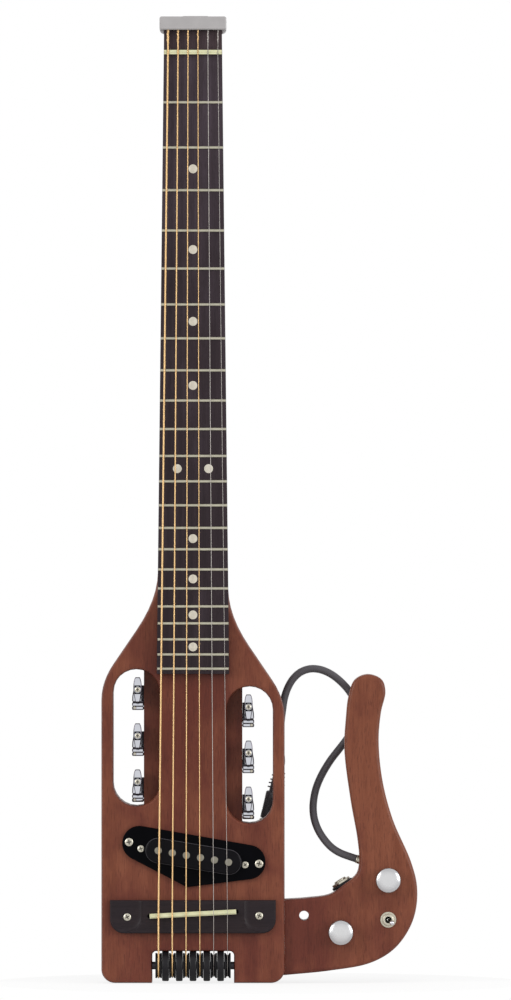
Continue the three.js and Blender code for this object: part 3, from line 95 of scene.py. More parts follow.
class Wire:
    # a node's output, whose operators add Math nodes
    def __init__(self, nodeTree, socket):
        self.nodeTree = nodeTree
        self.socket = socket

    def calc(self, operation, *values):
        return self.nodeTree.node("ShaderNodeMath", {"operation": operation}, dict(enumerate(values)))

    def __add__(self, other):
        return self.calc("ADD", self, other)

    def __radd__(self, other):
        return self.calc("ADD", other, self)

    def __sub__(self, other):
        return self.calc("SUBTRACT", self, other)

    def __rsub__(self, other):
        return self.calc("SUBTRACT", other, self)

    def __mul__(self, other):
        return self.calc("MULTIPLY", self, other)

    def __truediv__(self, other):
        return self.calc("DIVIDE", self, other)


class NodeTree:
    # the nodes of one material or of the world, each added through its type, its settings, and
    # what goes into its sockets
    def __init__(self, tree):
        self.tree = tree

    def node(self, kind, settings=None, inputs=None, output=0):
        made = self.tree.nodes.new(kind)
        for key, value in (settings or {}).items():
            setattr(made, key, value)
        for key, value in (inputs or {}).items():
            if isinstance(value, Wire):
                self.tree.links.new(value.socket, made.inputs[key])
            else:
                made.inputs[key].default_value = value
        return Wire(self, made.outputs[output])

    def surface(self, wire):
        # what the material or the world shows
        end = next(n for n in self.tree.nodes if n.type.startswith("OUTPUT"))
        self.tree.links.new(wire.socket, end.inputs["Surface"])


def tint(red, green, blue, share=1):
    # a share of a colour that is given as an eye reads it, 0 to 255, and made linear
    def linear(value):
        part = value / 255
        return share * (part / 12.92 if part <= 0.04045 else ((part + 0.055) / 1.055) ** 2.4)
    return (linear(red), linear(green), linear(blue), 1)


class Finish(NodeTree):
    # a material on the Principled shader, with its constant sockets set at once
    def __init__(self, name, **constants):
        self.material = bpy.data.materials.new(name)
        self.material.use_nodes = True
        super().__init__(self.material.node_tree)
        self.shader = next(n for n in self.tree.nodes if n.type == "BSDF_PRINCIPLED")
        for key, value in constants.items():
            self.shader.inputs[key.replace("_", " ")].default_value = value

    def place(self):
        return self.node("ShaderNodeTexCoord", output="Object")

    def part(self, vector, index):
        # the X, Y or Z of a vector
        return self.node("ShaderNodeSeparateXYZ", inputs={0: vector}, output=index)

    def grains(self, width, depth, length, detail=2, rough=0.5):
        # noise whose features have about these sizes in millimetres along X, Y and Z
        stretch = tuple(1 / (size * mm) for size in (width, depth, length))
        mapped = self.node("ShaderNodeMapping", inputs={"Vector": self.place(), "Scale": stretch})
        return self.node("ShaderNodeTexNoise", inputs={
            "Vector": mapped, "Scale": 1, "Detail": detail, "Roughness": rough,
        })

    def between(self, value, low, high):
        # 0 below low and 1 above high
        return self.node("ShaderNodeMapRange", {"clamp": True}, {
            "Value": value, "From Min": low, "From Max": high,
        })

    def mix(self, share, first, second):
        # a Mix node's sockets for colours have the numbers 6 and 7, and 2 going out
        return self.node("ShaderNodeMix", {"data_type": "RGBA"}, {0: share, 6: first, 7: second}, 2)

    def bump(self, height, depth, strength):
        return self.node("ShaderNodeBump", inputs={
            "Height": height, "Distance": depth * mm, "Strength": strength,
        })

    def feed(self, **links):
        for key, wire in links.items():
            self.tree.links.new(wire.socket, self.shader.inputs[key.replace("_", " ")])
        return self.material


woodGrain = {
    "cloudRange": (0.34, 0.66), "patchRange": (-0.6, 0.8), "poreRange": (0.63, 0.72),
    "toneRange": (0.35, 0.65), "roughSpread": 0.2, "poreRough": 0.1, "streakHeight": 0.2, "bump": 0.5,
}


def makeWood(name, look, patches=(), warmth=0):
    # sizes of what the grain is made of, in millimetres along X, Y and Z; a patch (x, z, half its
    # width, half its height, share) is warmer where its share is above zero
    finish = Finish(name, Specular_IOR_Level=look["shine"])
    bands = finish.grains(*look["bands"], detail=3)
    streaks = finish.grains(*look["streaks"], rough=0.6)
    cloud = finish.grains(*look["cloud"], detail=5, rough=0.6)
    cloud = finish.between(cloud, *woodGrain["cloudRange"])
    for x, z, wide, tall, share in patches:
        centre = at(x, 0, z)
        across = (finish.part(finish.place(), 0) - centre.x) / (wide * mm)
        up = (finish.part(finish.place(), 2) - centre.z) / (tall * mm)
        inside = finish.between(1 - across * across - up * up, *woodGrain["patchRange"])
        cloud = cloud + inside * share
    cloud = finish.between(cloud + warmth, 0, 1)
    opened = finish.between(finish.grains(*look["pores"], detail=0), *woodGrain["poreRange"])
    tone = bands * (1 - look["streakShare"]) + streaks * look["streakShare"]
    tone = finish.between(tone, *woodGrain["toneRange"])
    cool = finish.mix(tone, tint(*look["coolDark"]), tint(*look["coolLight"]))
    warm = finish.mix(tone, tint(*look["warmDark"]), tint(*look["warmLight"]))
    color = finish.mix(opened * look["poreShare"], finish.mix(cloud, cool, warm), tint(*look["pore"]))
    rough = look["rough"] + (streaks - 0.5) * woodGrain["roughSpread"] + opened * woodGrain["poreRough"]
    height = streaks * woodGrain["streakHeight"] - opened
    normal = finish.bump(height, look["poreDepth"], woodGrain["bump"])
    return finish.feed(Base_Color=color, Roughness=rough, Normal=normal)


mahoganyLook = {
    "coolDark": (84, 39, 30), "coolLight": (97, 48, 37),
    "warmDark": (109, 60, 42), "warmLight": (125, 73, 53), "pore": (62, 29, 22),
    "bands": (10, 10, 140), "streaks": (1.2, 1.2, 22), "cloud": (24, 22, 46), "pores": (0.6, 0.6, 7),
    "streakShare": 0.42, "poreShare": 0.36, "poreDepth": 0.04, "rough": 0.4, "shine": 0.2,
}
rosewoodLook = {
    "coolDark": (54, 45, 51), "coolLight": (66, 57, 64),
    "warmDark": (40, 32, 36), "warmLight": (51, 42, 46), "pore": (30, 24, 27),
    "bands": (6, 6, 160), "streaks": (0.8, 0.8, 40), "cloud": (20, 20, 60), "pores": (0.3, 0.3, 5),
    "streakShare": 0.4, "poreShare": 0.4, "poreDepth": 0.03, "rough": 0.5, "shine": 0.12,
}
# the fourth patch is a painted highlight: the body's right rim lighter where more light falls on it
mahogany = makeWood("mahogany", mahoganyLook, [
    (0, 180, 24, 95, -0.35), (42, 66, 30, 15, 0.5), (-52, 78, 20, 18, 0.35), (63, 150, 9, 80, 0.25),
    (0, 18, 90, 18, -0.3), (0, 130, 60, 14, 0.1), (-44, 262, 24, 34, 0.4), (42, 262, 24, 34, -0.15),
], -0.12)
# the first patch is painted shadow: the lap rest darker next to the body, which shades it
armMahogany = makeWood("armMahogany", mahoganyLook, [
    (74, 34, 26, 60, -0.8), (128, 195, 30, 55, 0.6), (130, 125, 26, 36, 0.4), (158, 80, 26, 60, 0.4),
    (120, 60, 24, 18, 0.2), (118, 20, 40, 12, -0.15),
], 0.04)
rosewood = makeWood("rosewood", rosewoodLook, [(0, 200, 400, 332, 0.95)], -0.3)
headRosewood = makeWood("headRosewood", {
    **rosewoodLook, "coolDark": (52, 42, 46), "coolLight": (64, 53, 57),
    "warmDark": (54, 43, 45), "warmLight": (67, 55, 58), "poreShare": 0.5,
})
bridgeRosewood = makeWood("bridgeRosewood", {
    "coolDark": (27, 21, 25), "coolLight": (36, 29, 33),
    "warmDark": (30, 22, 24), "warmLight": (40, 31, 33), "pore": (18, 13, 15),
    "bands": (120, 7, 7), "streaks": (40, 0.8, 0.8), "cloud": (40, 20, 20), "pores": (5, 0.3, 0.3),
    "streakShare": 0.4, "poreShare": 0.5, "poreDepth": 0.03, "rough": 0.46, "shine": 0.16,
})


# how far a face turns aside from the front where the painted edge shade begins and ends
paintedEdgeLook = {"fromSide": (0.03, 0.12), "toFront": (0.93, 0.99)}


def makePlain(
    name, dark, light, cloud, fine, rough, spread, fineSpread=0, depth=0, strength=0.4,
    cloudRange=(0.35, 0.65), detail=2, edge=None, **constants,
):
    # two colours in soft clouds, and a fine grain; the roughness varies with both; an edge colour, a painted
    # shade and dark reflection, shows where the front rounds away to the sides
    finish = Finish(name, **constants)
    clouds = finish.grains(*cloud, detail=detail)
    grain = finish.grains(*fine)
    color = finish.mix(finish.between(clouds, *cloudRange), dark, light)
    if edge:
        normal = finish.node("ShaderNodeNewGeometry", output="Normal")
        turned = finish.part(normal, 1)
        turned = turned.calc("ABSOLUTE", turned)
        flat = finish.between(turned, *paintedEdgeLook["toFront"])
        line = finish.between(turned, *paintedEdgeLook["fromSide"]) * (1 - flat)
        color = finish.mix(line, color, edge)
    roughness = rough + clouds * spread + grain * fineSpread
    if depth:
        finish.feed(Normal=finish.bump(grain, depth, strength))
    return finish.feed(Base_Color=color, Roughness=roughness)


def makeMetal(name, color, rough, spread, grain, depth, stain, metallic=1, edge=None):
    # faint stains, fine scratches and a roughness that varies, and a painted edge shade where an edge colour
    # is given
    return makePlain(
        name, tint(*color, stain), tint(*color), (grain * 8, grain * 8, grain * 8),
        (grain, grain, grain / 3), rough - spread, spread, spread, depth, detail=3,
        edge=edge and tint(*edge), Metallic=metallic,
    )


def makeBlack(name, color, rough, spread, shine, depth, size):
    return makePlain(
        name, tint(*color), tint(*color, 1.5), (size * 12, size * 12, size * 12), (size, size, size),
        rough - spread / 2, spread, 0, depth, cloudRange=(0.3, 0.7), Specular_IOR_Level=shine,
    )


windingLook = {
    "cloud": (4, 4, 14), "low": (198, 158, 106), "high": (244, 211, 158), "stain": (214, 176, 124),
    "stainShare": 0.3, "height": 0.35, "bump": 0.6, "rough": 0.34, "roughSpread": 0.16,
}


def makeWinding(name, pitch):
    # fine bronze wire wound round a string, as a stripe that climbs with the piece's own map; each turn is a
    # painted highlight on its crest and painted shade in the groove beside it
    look, finish = windingLook, Finish(name, Metallic=1)
    alongPiece = finish.node("ShaderNodeTexCoord", output="UV")
    turns = finish.part(alongPiece, 1) / (pitch * mm) + finish.part(alongPiece, 0)
    ridge = turns.calc("SINE", turns * (2 * math.pi)) * 0.5 + 0.5
    cloud = finish.grains(*look["cloud"])
    # lighter crests and darker grooves: painted highlight and shade of the wire's turns, along with the bump
    color = finish.mix(ridge, tint(*look["low"]), tint(*look["high"]))
    color = finish.mix(cloud * look["stainShare"], color, tint(*look["stain"]))
    normal = finish.bump(ridge, pitch * look["height"], look["bump"])
    rough = look["rough"] + cloud * look["roughSpread"]
    return finish.feed(Base_Color=color, Roughness=rough, Normal=normal)


bone = makePlain(
    "bone", tint(196, 193, 154), tint(212, 209, 171), (6, 6, 2.5), (0.5, 2, 0.5), 0.34, 0.2, 0, 0.02, 0.3,
    (0.3, 0.7), 3, Specular_IOR_Level=0.45, Subsurface_Weight=0.05,
)
inlay = makePlain(
    "inlay", tint(198, 192, 177), tint(209, 203, 189), (3, 3, 2), (1, 1, 1), 0.25, 0.2,
    cloudRange=(0.3, 0.7), Specular_IOR_Level=0.45,
)
plainString = makePlain(
    "plainString", tint(158, 152, 148), tint(180, 175, 170), (3, 3, 30), (1, 1, 1), 0.5, 0.1,
    cloudRange=(0, 1), Metallic=1,
)
jacket = makePlain(
    "jacket", tint(68, 65, 69), tint(77, 74, 78), (9, 9, 9), (0.5, 0.5, 0.5), 0.44, 0, 0.1, 0.01, 0.3,
    (0, 1), Specular_IOR_Level=0.4,
)
castGrey = makeMetal("castGrey", (164, 161, 161), 0.45, 0.16, 0.9, 0.03, 0.94, 0.35)
# its darker edge colour paints the dark reflection along the rounded edges of the tuners' chrome
chrome = makeMetal("chrome", (206, 208, 215), 0.12, 0.08, 1.5, 0.003, 0.93, edge=(84, 79, 88))
brightChrome = makeMetal("brightChrome", (206, 206, 209), 0.16, 0.06, 1.5, 0.002, 0.94)
# its darker edge colour is painted shade towards the knob's rim
knobChrome = makeMetal("knobChrome", (212, 212, 213), 0.26, 0.03, 4, 0.0002, 0.98, edge=(188, 188, 190))
nickel = makeMetal("nickel", (196, 191, 176), 0.32, 0.16, 0.6, 0.01, 0.84)
fretNickel = makeMetal("fretNickel", (186, 182, 164), 0.36, 0.12, 0.7, 0.008, 0.88)
poleSteel = makeMetal("poleSteel", (142, 138, 126), 0.45, 0.2, 0.5, 0.02, 0.84)
switchNickel = makeMetal("switchNickel", (196, 191, 174), 0.36, 0.12, 0.6, 0.01, 0.9, 0.6)
# dark steel for the pots and the axle, and painted shade on the tuners' flanges and in their grooves
darkSteelAndShade = makeMetal("darkSteelAndShade", (70, 67, 72), 0.35, 0.2, 0.8, 0.01, 0.8)
glossBlack = makeBlack("glossBlack", (4, 4, 6), 0.2, 0.06, 0.03, 0.002, 1.2)
satinBlack = makeBlack("satinBlack", (17, 16, 19), 0.42, 0.16, 0.22, 0.01, 0.8)
pickupBlack = makeBlack("pickupBlack", (9, 8, 11), 0.3, 0.1, 0.07, 0.005, 0.9)
# a lighter grey for the thin rim round the pickup cover, a painted highlight
seamBlack = makeBlack("seamBlack", (62, 60, 64), 0.4, 0.1, 0.2, 0.005, 0.9)
# near black for the piezo strip, and painted shade in the saddle slot, the tuner windows and the switch's
# hole
blackAndShade = makeBlack("blackAndShade", (7, 6, 7), 0.8, 0.1, 0.05, 0.02, 0.5)
# painted shade at the foot of the screws' crosses
crossShadeGrey = makeBlack("crossShadeGrey", (62, 57, 53), 0.7, 0.1, 0.2, 0.02, 0.5)
print("finishes made")


# Modelling helpers

# distances in millimetres within which corners are merged, and angles in degrees
meshLook = {
    "merged": 0.002, "refinedMerged": 0.001, "flatAngle": 0.4, "bevelAngle": 40, "shadeAngle": 35,
    "shadeWeight": 50,
}


def deselectAll():
    if bpy.context.object and bpy.context.object.mode != "OBJECT":
        bpy.ops.object.mode_set(mode="OBJECT")
    bpy.ops.object.select_all(action="DESELECT")


def pick(piece):
    deselectAll()
    piece.select_set(True)
    bpy.context.view_layer.objects.active = piece


def editAll(piece, kind="VERT"):
    # edit mode with everything selected, by corners, edges or faces
    pick(piece)
    bpy.ops.object.mode_set(mode="EDIT")
    bpy.ops.mesh.select_mode(type=kind)
    bpy.ops.mesh.select_all(action="SELECT")


def closeUp(piece):
    # merges what meets and turns the faces outwards
    editAll(piece)
    bpy.ops.mesh.remove_doubles(threshold=meshLook["merged"] * mm)
    bpy.ops.mesh.normals_make_consistent(inside=False)
    bpy.ops.object.mode_set(mode="OBJECT")


def shapeWith(piece, kind, **settings):
    pick(piece)
    modifier = piece.modifiers.new(kind.lower(), kind)
    for key, value in settings.items():
        setattr(modifier, key, value)
    bpy.ops.object.modifier_apply(modifier=modifier.name)


def discard(*pieces):
    for piece in pieces:
        bpy.data.objects.remove(piece)


def cutWith(piece, cutter, how="DIFFERENCE"):
    shapeWith(piece, "BOOLEAN", operation=how, object=cutter, solver="EXACT")
    discard(cutter)


def twin(piece, name):
    copy = piece.copy()
    copy.data = piece.data.copy()
    copy.name = name
    bpy.context.scene.collection.objects.link(copy)
    return copy


def joined(pieces, name):
    pick(pieces[0])
    for piece in pieces:
        piece.select_set(True)
    bpy.ops.object.join()
    pieces[0].name = name
    return pieces[0]


def moved(piece, centre):
    piece.data.transform(Matrix.Translation(at(*centre)))
    return piece


def settle(piece, place, axis=facing, spun=0):
    # a piece modelled about Z goes to its place in metres, with Z turned to the axis
    turned = Vector(axis).to_track_quat("Z", "Y").to_matrix().to_4x4()
    piece.data.transform(Matrix.Translation(place) @ turned @ Matrix.Rotation(spun, 4, "Z"))
    return piece


def fitOut(piece, body, finish, node=None, smooth=meshLook["shadeAngle"]):
    pick(piece)
    piece.data.materials.clear()
    piece.data.materials.append(finish)
    bpy.ops.object.shade_smooth_by_angle(angle=math.radians(smooth))
    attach(piece, body)
    if node:
        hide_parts(node)


def evenShade(piece):
    # large flat faces keep their own shade up to where an edge rounds away
    pick(piece)
    bpy.ops.object.shade_smooth_by_angle(angle=math.radians(meshLook["shadeAngle"]))
    shapeWith(piece, "WEIGHTED_NORMAL", keep_sharp=True, weight=meshLook["shadeWeight"])


def turnedPiece(name, profile, sides=32, ring=False):
    # a circle drawn up along Z through (radius, height) pairs; a ring closes on its first pair
    deselectAll()
    steps = [(radius * mm, height * mm) for radius, height in profile]
    radius, height = steps[0]
    kind = "NOTHING" if ring else "NGON"
    bpy.ops.mesh.primitive_circle_add(vertices=sides, radius=radius, fill_type=kind)
    piece = bpy.context.object
    piece.name = name
    piece.data.transform(Matrix.Translation((0, 0, height)))
    editAll(piece, "EDGE" if ring else "FACE")
    extrude = bpy.ops.mesh.extrude_edges_move if ring else bpy.ops.mesh.extrude_region_move
    for nextRadius, nextHeight in steps[1:] + (steps[:1] if ring else []):
        extrude(TRANSFORM_OT_translate={"value": (0, 0, nextHeight - height)})
        share = nextRadius / radius
        bpy.ops.transform.resize(value=(share, share, 1), center_override=(0, 0, nextHeight))
        radius, height = nextRadius, nextHeight
    closeUp(piece)
    return piece


def flatFace(name, outline, y):
    # one face with the outline's corners
    deselectAll()
    bpy.ops.mesh.primitive_circle_add(vertices=len(outline), radius=mm, fill_type="NGON")
    piece = bpy.context.object
    piece.name = name
    corners = [piece.data.vertices[index] for index in piece.data.polygons[0].vertices]
    for vert, (x, z) in zip(corners, outline):
        vert.co = Vector((x, y, z)) * mm
    return piece


def slab(name, outline, front, back, round=0, segments=2):
    # a flat outline of (x, z) pairs about the origin, drawn out from front to back, with its
    # edges rounded
    piece = flatFace(name, outline, front)
    editAll(piece)
    bpy.ops.mesh.extrude_region_move(TRANSFORM_OT_translate={"value": (0, (back - front) * mm, 0)})
    closeUp(piece)
    if round:
        shapeWith(
            piece, "BEVEL", width=round * mm, segments=segments, limit_method="ANGLE",
            angle_limit=math.radians(meshLook["bevelAngle"]),
        )
    return piece


def placedSlab(*shape):
    # the same with its outline in the guitar's frame
    return moved(slab(*shape), (0, 0, 0))


def cushion(name, outline, front, back, round, steps=4):
    # a flat outline about the origin, drawn out from front to back through a rounded edge at each end
    across = max(abs(x) for x, z in outline)
    up = max(abs(z) for x, z in outline)
    quarter = [math.pi / 2 * k / steps for k in range(steps + 1)]
    levels = [(front + round * (1 - math.cos(turn)), round * (1 - math.sin(turn))) for turn in quarter]
    levels += [(front + back - y, inset) for y, inset in levels[::-1]]
    y, inset = levels[0]
    start = [(x * (across - inset) / across, z * (up - inset) / up) for x, z in outline]
    piece = flatFace(name, start, y)
    editAll(piece, "FACE")
    for nextY, nextInset in levels[1:]:
        bpy.ops.mesh.extrude_region_move(TRANSFORM_OT_translate={"value": (0, (nextY - y) * mm, 0)})
        shares = ((across - nextInset) / (across - inset), 1, (up - nextInset) / (up - inset))
        bpy.ops.transform.resize(value=shares, center_override=(0, nextY * mm, 0))
        y, inset = nextY, nextInset
    closeUp(piece)
    return piece


def rectangle(left, bottom, right, top, corner=0, steps=5):
    # the outline of a rectangle with rounded corners
    if not corner:
        return [(left, bottom), (right, bottom), (right, top), (left, top)]
    found = []
    for x, z, first in (
        (right - corner, bottom + corner, 270), (right - corner, top - corner, 0),
        (left + corner, top - corner, 90), (left + corner, bottom + corner, 180),
    ):
        for k in range(steps + 1):
            angle = math.radians(first + 90 * k / steps)
            found.append((x + corner * math.cos(angle), z + corner * math.sin(angle)))
    return found


def middled(wide, tall, corner=0, steps=5):
    # such an outline about the origin, from half its width and half its height
    return rectangle(-wide, -tall, wide, tall, corner, steps)


def slanted(outline, centreX, centreZ, slope):
    # an outline turned about the origin by the slope of its long side, and brought to its centre
    cos, sin = math.cos(math.atan(slope)), math.sin(math.atan(slope))
    return [(centreX + x * cos - z * sin, centreZ + x * sin + z * cos) for x, z in outline]


def bandRound(circles, steps=120):
    # the outline of a band laid round circles of (x, z, radius)
    turns = [2 * math.pi * k / steps for k in range(steps)]
    points = sorted(
        (x + radius * math.cos(turn), z + radius * math.sin(turn))
        for x, z, radius in circles for turn in turns
    )
    found = []
    for line in (points, points[::-1]):
        side = []
        for x, z in line:
            while len(side) > 1:
                (ax, az), (bx, bz) = side[-2:]
                if (bx - ax) * (z - az) - (bz - az) * (x - ax) > 1e-9:
                    break
                side.pop()
            side.append((x, z))
        found += side[:-1]
    return found


def boreInto(piece, bore, place, axis, sides=48):
    # a round hole of (radius, low, high) along an axis, from a place in metres
    radius, low, high = bore
    cutWith(piece, settle(turnedPiece("drill", [(radius, low), (radius, high)], sides), place, axis))


def refined(node, name):
    # a copy of a solid with its corners merged and its flat faces made whole
    piece = twin(nodes[node], name)
    piece.parent = None
    for key in [key for key in piece.keys() if key.startswith("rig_")]:
        del piece[key]
    pick(piece)
    bpy.ops.mesh.customdata_custom_splitnormals_clear()
    editAll(piece)
    bpy.ops.mesh.remove_doubles(threshold=meshLook["refinedMerged"] * mm)
    bpy.ops.mesh.dissolve_limited(angle_limit=math.radians(meshLook["flatAngle"]))
    bpy.ops.object.mode_set(mode="OBJECT")
    return piece


def lengthsAlong(points):
    lengths = [0.0]
    for first, second in zip(points, points[1:]):
        lengths.append(lengths[-1] + (second - first).length)
    return lengths


def tubeMesh(name, points, radii, sides):
    # a closed tube along points in metres, with a map whose V is the length along it
    count, lengths = len(points), lengthsAlong(points)
    side = (points[1] - points[0]).orthogonal().normalized()
    verts, faces, uvs = [], [], []
    for i, (point, radius) in enumerate(zip(points, radii)):
        ahead = (points[min(i + 1, count - 1)] - points[max(i - 1, 0)]).normalized()
        side = (side - ahead * side.dot(ahead)).normalized()
        up = ahead.cross(side)
        for k in range(sides):
            angle = 2 * math.pi * k / sides
            verts.append(point + (side * math.cos(angle) + up * math.sin(angle)) * radius)
    for i in range(count - 1):
        low, high = i * sides, (i + 1) * sides
        for k in range(sides):
            after = (k + 1) % sides
            faces.append((low + k, low + after, high + after, high + k))
            uvs.append([
                (turn / sides, lengths[j]) for turn, j in ((k, i), (k + 1, i), (k + 1, i + 1), (k, i + 1))
            ])
    faces += [tuple(reversed(range(sides))), tuple(range((count - 1) * sides, count * sides))]
    uvs += [[(0, lengths[0])] * sides, [(0, lengths[-1])] * sides]
    mesh = bpy.data.meshes.new(name)
    mesh.from_pydata(verts, [], faces)
    layer = mesh.uv_layers.new(name="along")
    for polygon, corners in zip(mesh.polygons, uvs):
        for loop, corner in zip(polygon.loop_indices, corners):
            layer.data[loop].uv = corner
    piece = bpy.data.objects.new(name, mesh)
    bpy.context.scene.collection.objects.link(piece)
    return piece


def smoothRoute(points, steps):
    # the same centripetal curve as the solid's, with some steps between each two points
    found = []
    for i in range(len(points) - 1):
        first, second = points[i], points[i + 1]
        before = points[i - 1] if i else first * 2 - second
        after = points[i + 2] if i + 2 < len(points) else second * 2 - first
        spans = [(b - a).length ** 0.5 for a, b in ((before, first), (first, second), (second, after))]
        start = (first - before) / spans[0] - (second - before) / (spans[0] + spans[1])
        start = (start + (second - first) / spans[1]) * spans[1]
        end = (second - first) / spans[1] - (after - first) / (spans[1] + spans[2])
        end = (end + (after - second) / spans[2]) * spans[1]
        for k in range(steps):
            t = k / steps
            found.append(
                first + start * t
                + (second * 3 - first * 3 - start * 2 - end) * t ** 2
                + (first * 2 - second * 2 + start + end) * t ** 3
            )
    return found + [points[-1]]


def spaced(points, count):
    # the same line with its points an even distance apart
    lengths = lengthsAlong(points)
    found, place = [], 0
    for i in range(count):
        want = lengths[-1] * i / (count - 1)
        while place < len(points) - 2 and lengths[place + 1] < want:
            place += 1
        share = (want - lengths[place]) / (lengths[place + 1] - lengths[place])
        found.append(points[place].lerp(points[place + 1], min(share, 1)))
    return found


# Cord, from its gland in the lap rest to its plug in the right opening

cordLook = {
    "diameter": 5.6, "stations": 170, "sides": 20, "steps": 12,
    "gland": (122.4, -3.5, 90.4), "glandLean": -72, "collar": 2, "inGland": 0.6,
    "plug": (55.9, 13, 118), "plugLean": 11.9, "handleLength": 22.5, "reliefLength": 16.5, "gap": 0.3,
    "bendFrom": (85, 5, 165), "bendTo": (115, -3, 95),
}
cordRoute = [
    (108.3, -2.8, 95.4), (102.2, -1.5, 99.3), (96.6, 0.3, 105.4), (92.2, 2.3, 112.5),
    (89.5, 4.4, 120.1), (88.6, 6.4, 127.4), (89.1, 8.2, 134.8), (90.7, 9.9, 142.2),
    (93.5, 11.4, 149.5), (97.4, 12.6, 156.9), (102.2, 13.3, 164.3), (107.9, 13.6, 171.6),
    (113.8, 13.6, 179.4), (118.6, 13.6, 187.8), (121.2, 13.6, 196.7), (120.1, 13.6, 205.5),
    (115.4, 13.6, 214.4), (108.3, 13.6, 222.2), (100.9, 13.6, 227.6), (93.5, 13.6, 230.5),
    (86.2, 13.6, 230.9), (79.2, 13.6, 228.4), (73.6, 13.6, 223.2), (69.8, 13.5, 216.6),
    (67.4, 13.4, 209.4), (66.0, 13.2, 200.6), (64.9, 13, 191.6), (64.5, 13, 181.8),
    (64.4, 13, 171.8),
]
glandAxis = lean(cordLook["glandLean"])
plugAxis = lean(cordLook["plugLean"])
plugFloor = at(*cordLook["plug"])


def cordCentre():
    look = cordLook
    start = Vector(look["gland"]) + glandAxis * (look["collar"] - look["inGland"])
    straight = start + glandAxis * look["diameter"]
    end = Vector(look["plug"]) + plugAxis * (look["handleLength"] + look["reliefLength"] + look["gap"])
    before = end + plugAxis * look["diameter"]
    route = [start, straight] + [Vector(point) for point in cordRoute] + [before, end]
    return spaced(smoothRoute([at(*point) for point in route], look["steps"]), look["stations"])


cordPath = cordCentre()
cordLength = lengthsAlong(cordPath)[-1]
cordRadii = [cordLook["diameter"] / 2 * mm] * cordLook["stations"]
cord = tubeMesh("cordJacket", cordPath, cordRadii, cordLook["sides"])
pick(cord)
bpy.ops.object.shade_smooth()
cord.data.materials.append(jacket)
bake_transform(cord)
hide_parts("cord")
print("cord made, length", round(cordLength, 4), "m")


# Plug: a ribbed handle and a comb-shaped relief, leaning in the pocket behind the right rim

plugLook = {
    "radius": 7, "taper": 0.5, "flange": 1.4,
    # how far each corner lies in from the handle's surface, and how far up from its end
    "foot": [(1.3, 0), (0.35, 0.3), (0, 0.9)], "shoulder": [(-0.02, -1.1), (0.5, -0.3), (1.4, 0)],
    "gripFrom": 8, "gripPitch": 1.46, "grips": 7, "gripDepth": 0.3, "gripLand": 0.5, "gripSlope": 0.12,
    "columns": 56, "columnDepth": 0.14,
    # place and radius of each rib, then radius and place of each corner of the relief's end and the pin
    "ribs": [(25.45, 6.3), (28.45, 6.1), (31.1, 5.5), (34.3, 5), (37.1, 4.55)],
    "ribHalf": 0.48, "ribRound": 0.15, "core": 4.6, "coreTaper": 0.045, "sunk": 0.2,
    "reliefEnd": [(3.3, 38.7), (3, 39)],
    "pin": [(0.5, -16), (1.6, -15.1), (2.5, -13.6), (1.9, -12.4), (2.6, -11.7), (2.9, -11.4), (2.9, 1.75)],
}


def plugHandle():
    look, long = plugLook, cordLook["handleLength"]
    start = look["flange"] + cordLook["gap"]

    def edge(along):
        return look["radius"] - look["taper"] * (along - start) / (long - start)

    profile = [(edge(start) - inset, start + up) for inset, up in look["foot"]]
    for i in range(look["grips"]):
        low = look["gripFrom"] + look["gripPitch"] * i
        high = low + look["gripLand"]
        profile += [(edge(low), low), (edge(low) - look["gripDepth"], low + look["gripSlope"])]
        profile += [(edge(high) - look["gripDepth"], high), (edge(high), high + look["gripSlope"])]
    profile += [(edge(long) - inset, long + up) for inset, up in look["shoulder"]]
    handle = turnedPiece("plugHandle", profile, look["columns"] * 2)
    # every second column of the grip is pulled in a little
    last = look["gripFrom"] + look["gripPitch"] * look["grips"]
    share = 1 - look["columnDepth"] / look["radius"]
    for vert in handle.data.vertices:
        column = round(math.atan2(vert.co.y, vert.co.x) / (math.pi / look["columns"]))
        outside = vert.co.xy.length > (look["radius"] - 1) * mm
        if outside and column % 2 and look["gripFrom"] < vert.co.z / mm < last:
            vert.co = (vert.co.x * share, vert.co.y * share, vert.co.z)
    return handle


def plugRelief():
    look, start = plugLook, cordLook["handleLength"]
    profile = [(look["core"], start - look["sunk"])]
    for along, radius in look["ribs"]:
        core = look["core"] - look["coreTaper"] * (along - start)
        low, high, corner = along - look["ribHalf"], along + look["ribHalf"], look["ribRound"]
        profile += [(core, low), (radius - corner, low), (radius, low + corner)]
        profile += [(radius, high - corner), (radius - corner, high), (core, high)]
    return turnedPiece("plugRelief", profile + look["reliefEnd"], 36)


handle = settle(plugHandle(), plugFloor, plugAxis)
relief = settle(plugRelief(), plugFloor, plugAxis)
pin = settle(turnedPiece("plugPin", plugLook["pin"], 24), plugFloor, plugAxis)
fitOut(handle, "guitar", jacket, "cord_plug", 30)
fitOut(relief, "guitar", jacket, smooth=30)
fitOut(pin, "guitar", nickel)
print("plug made")


# Body and lap rest, of the same wood

woodBody = refined("body_and_neck", "woodBody")
fitOut(woodBody, "guitar", mahogany, "body_and_neck")
evenShade(woodBody)

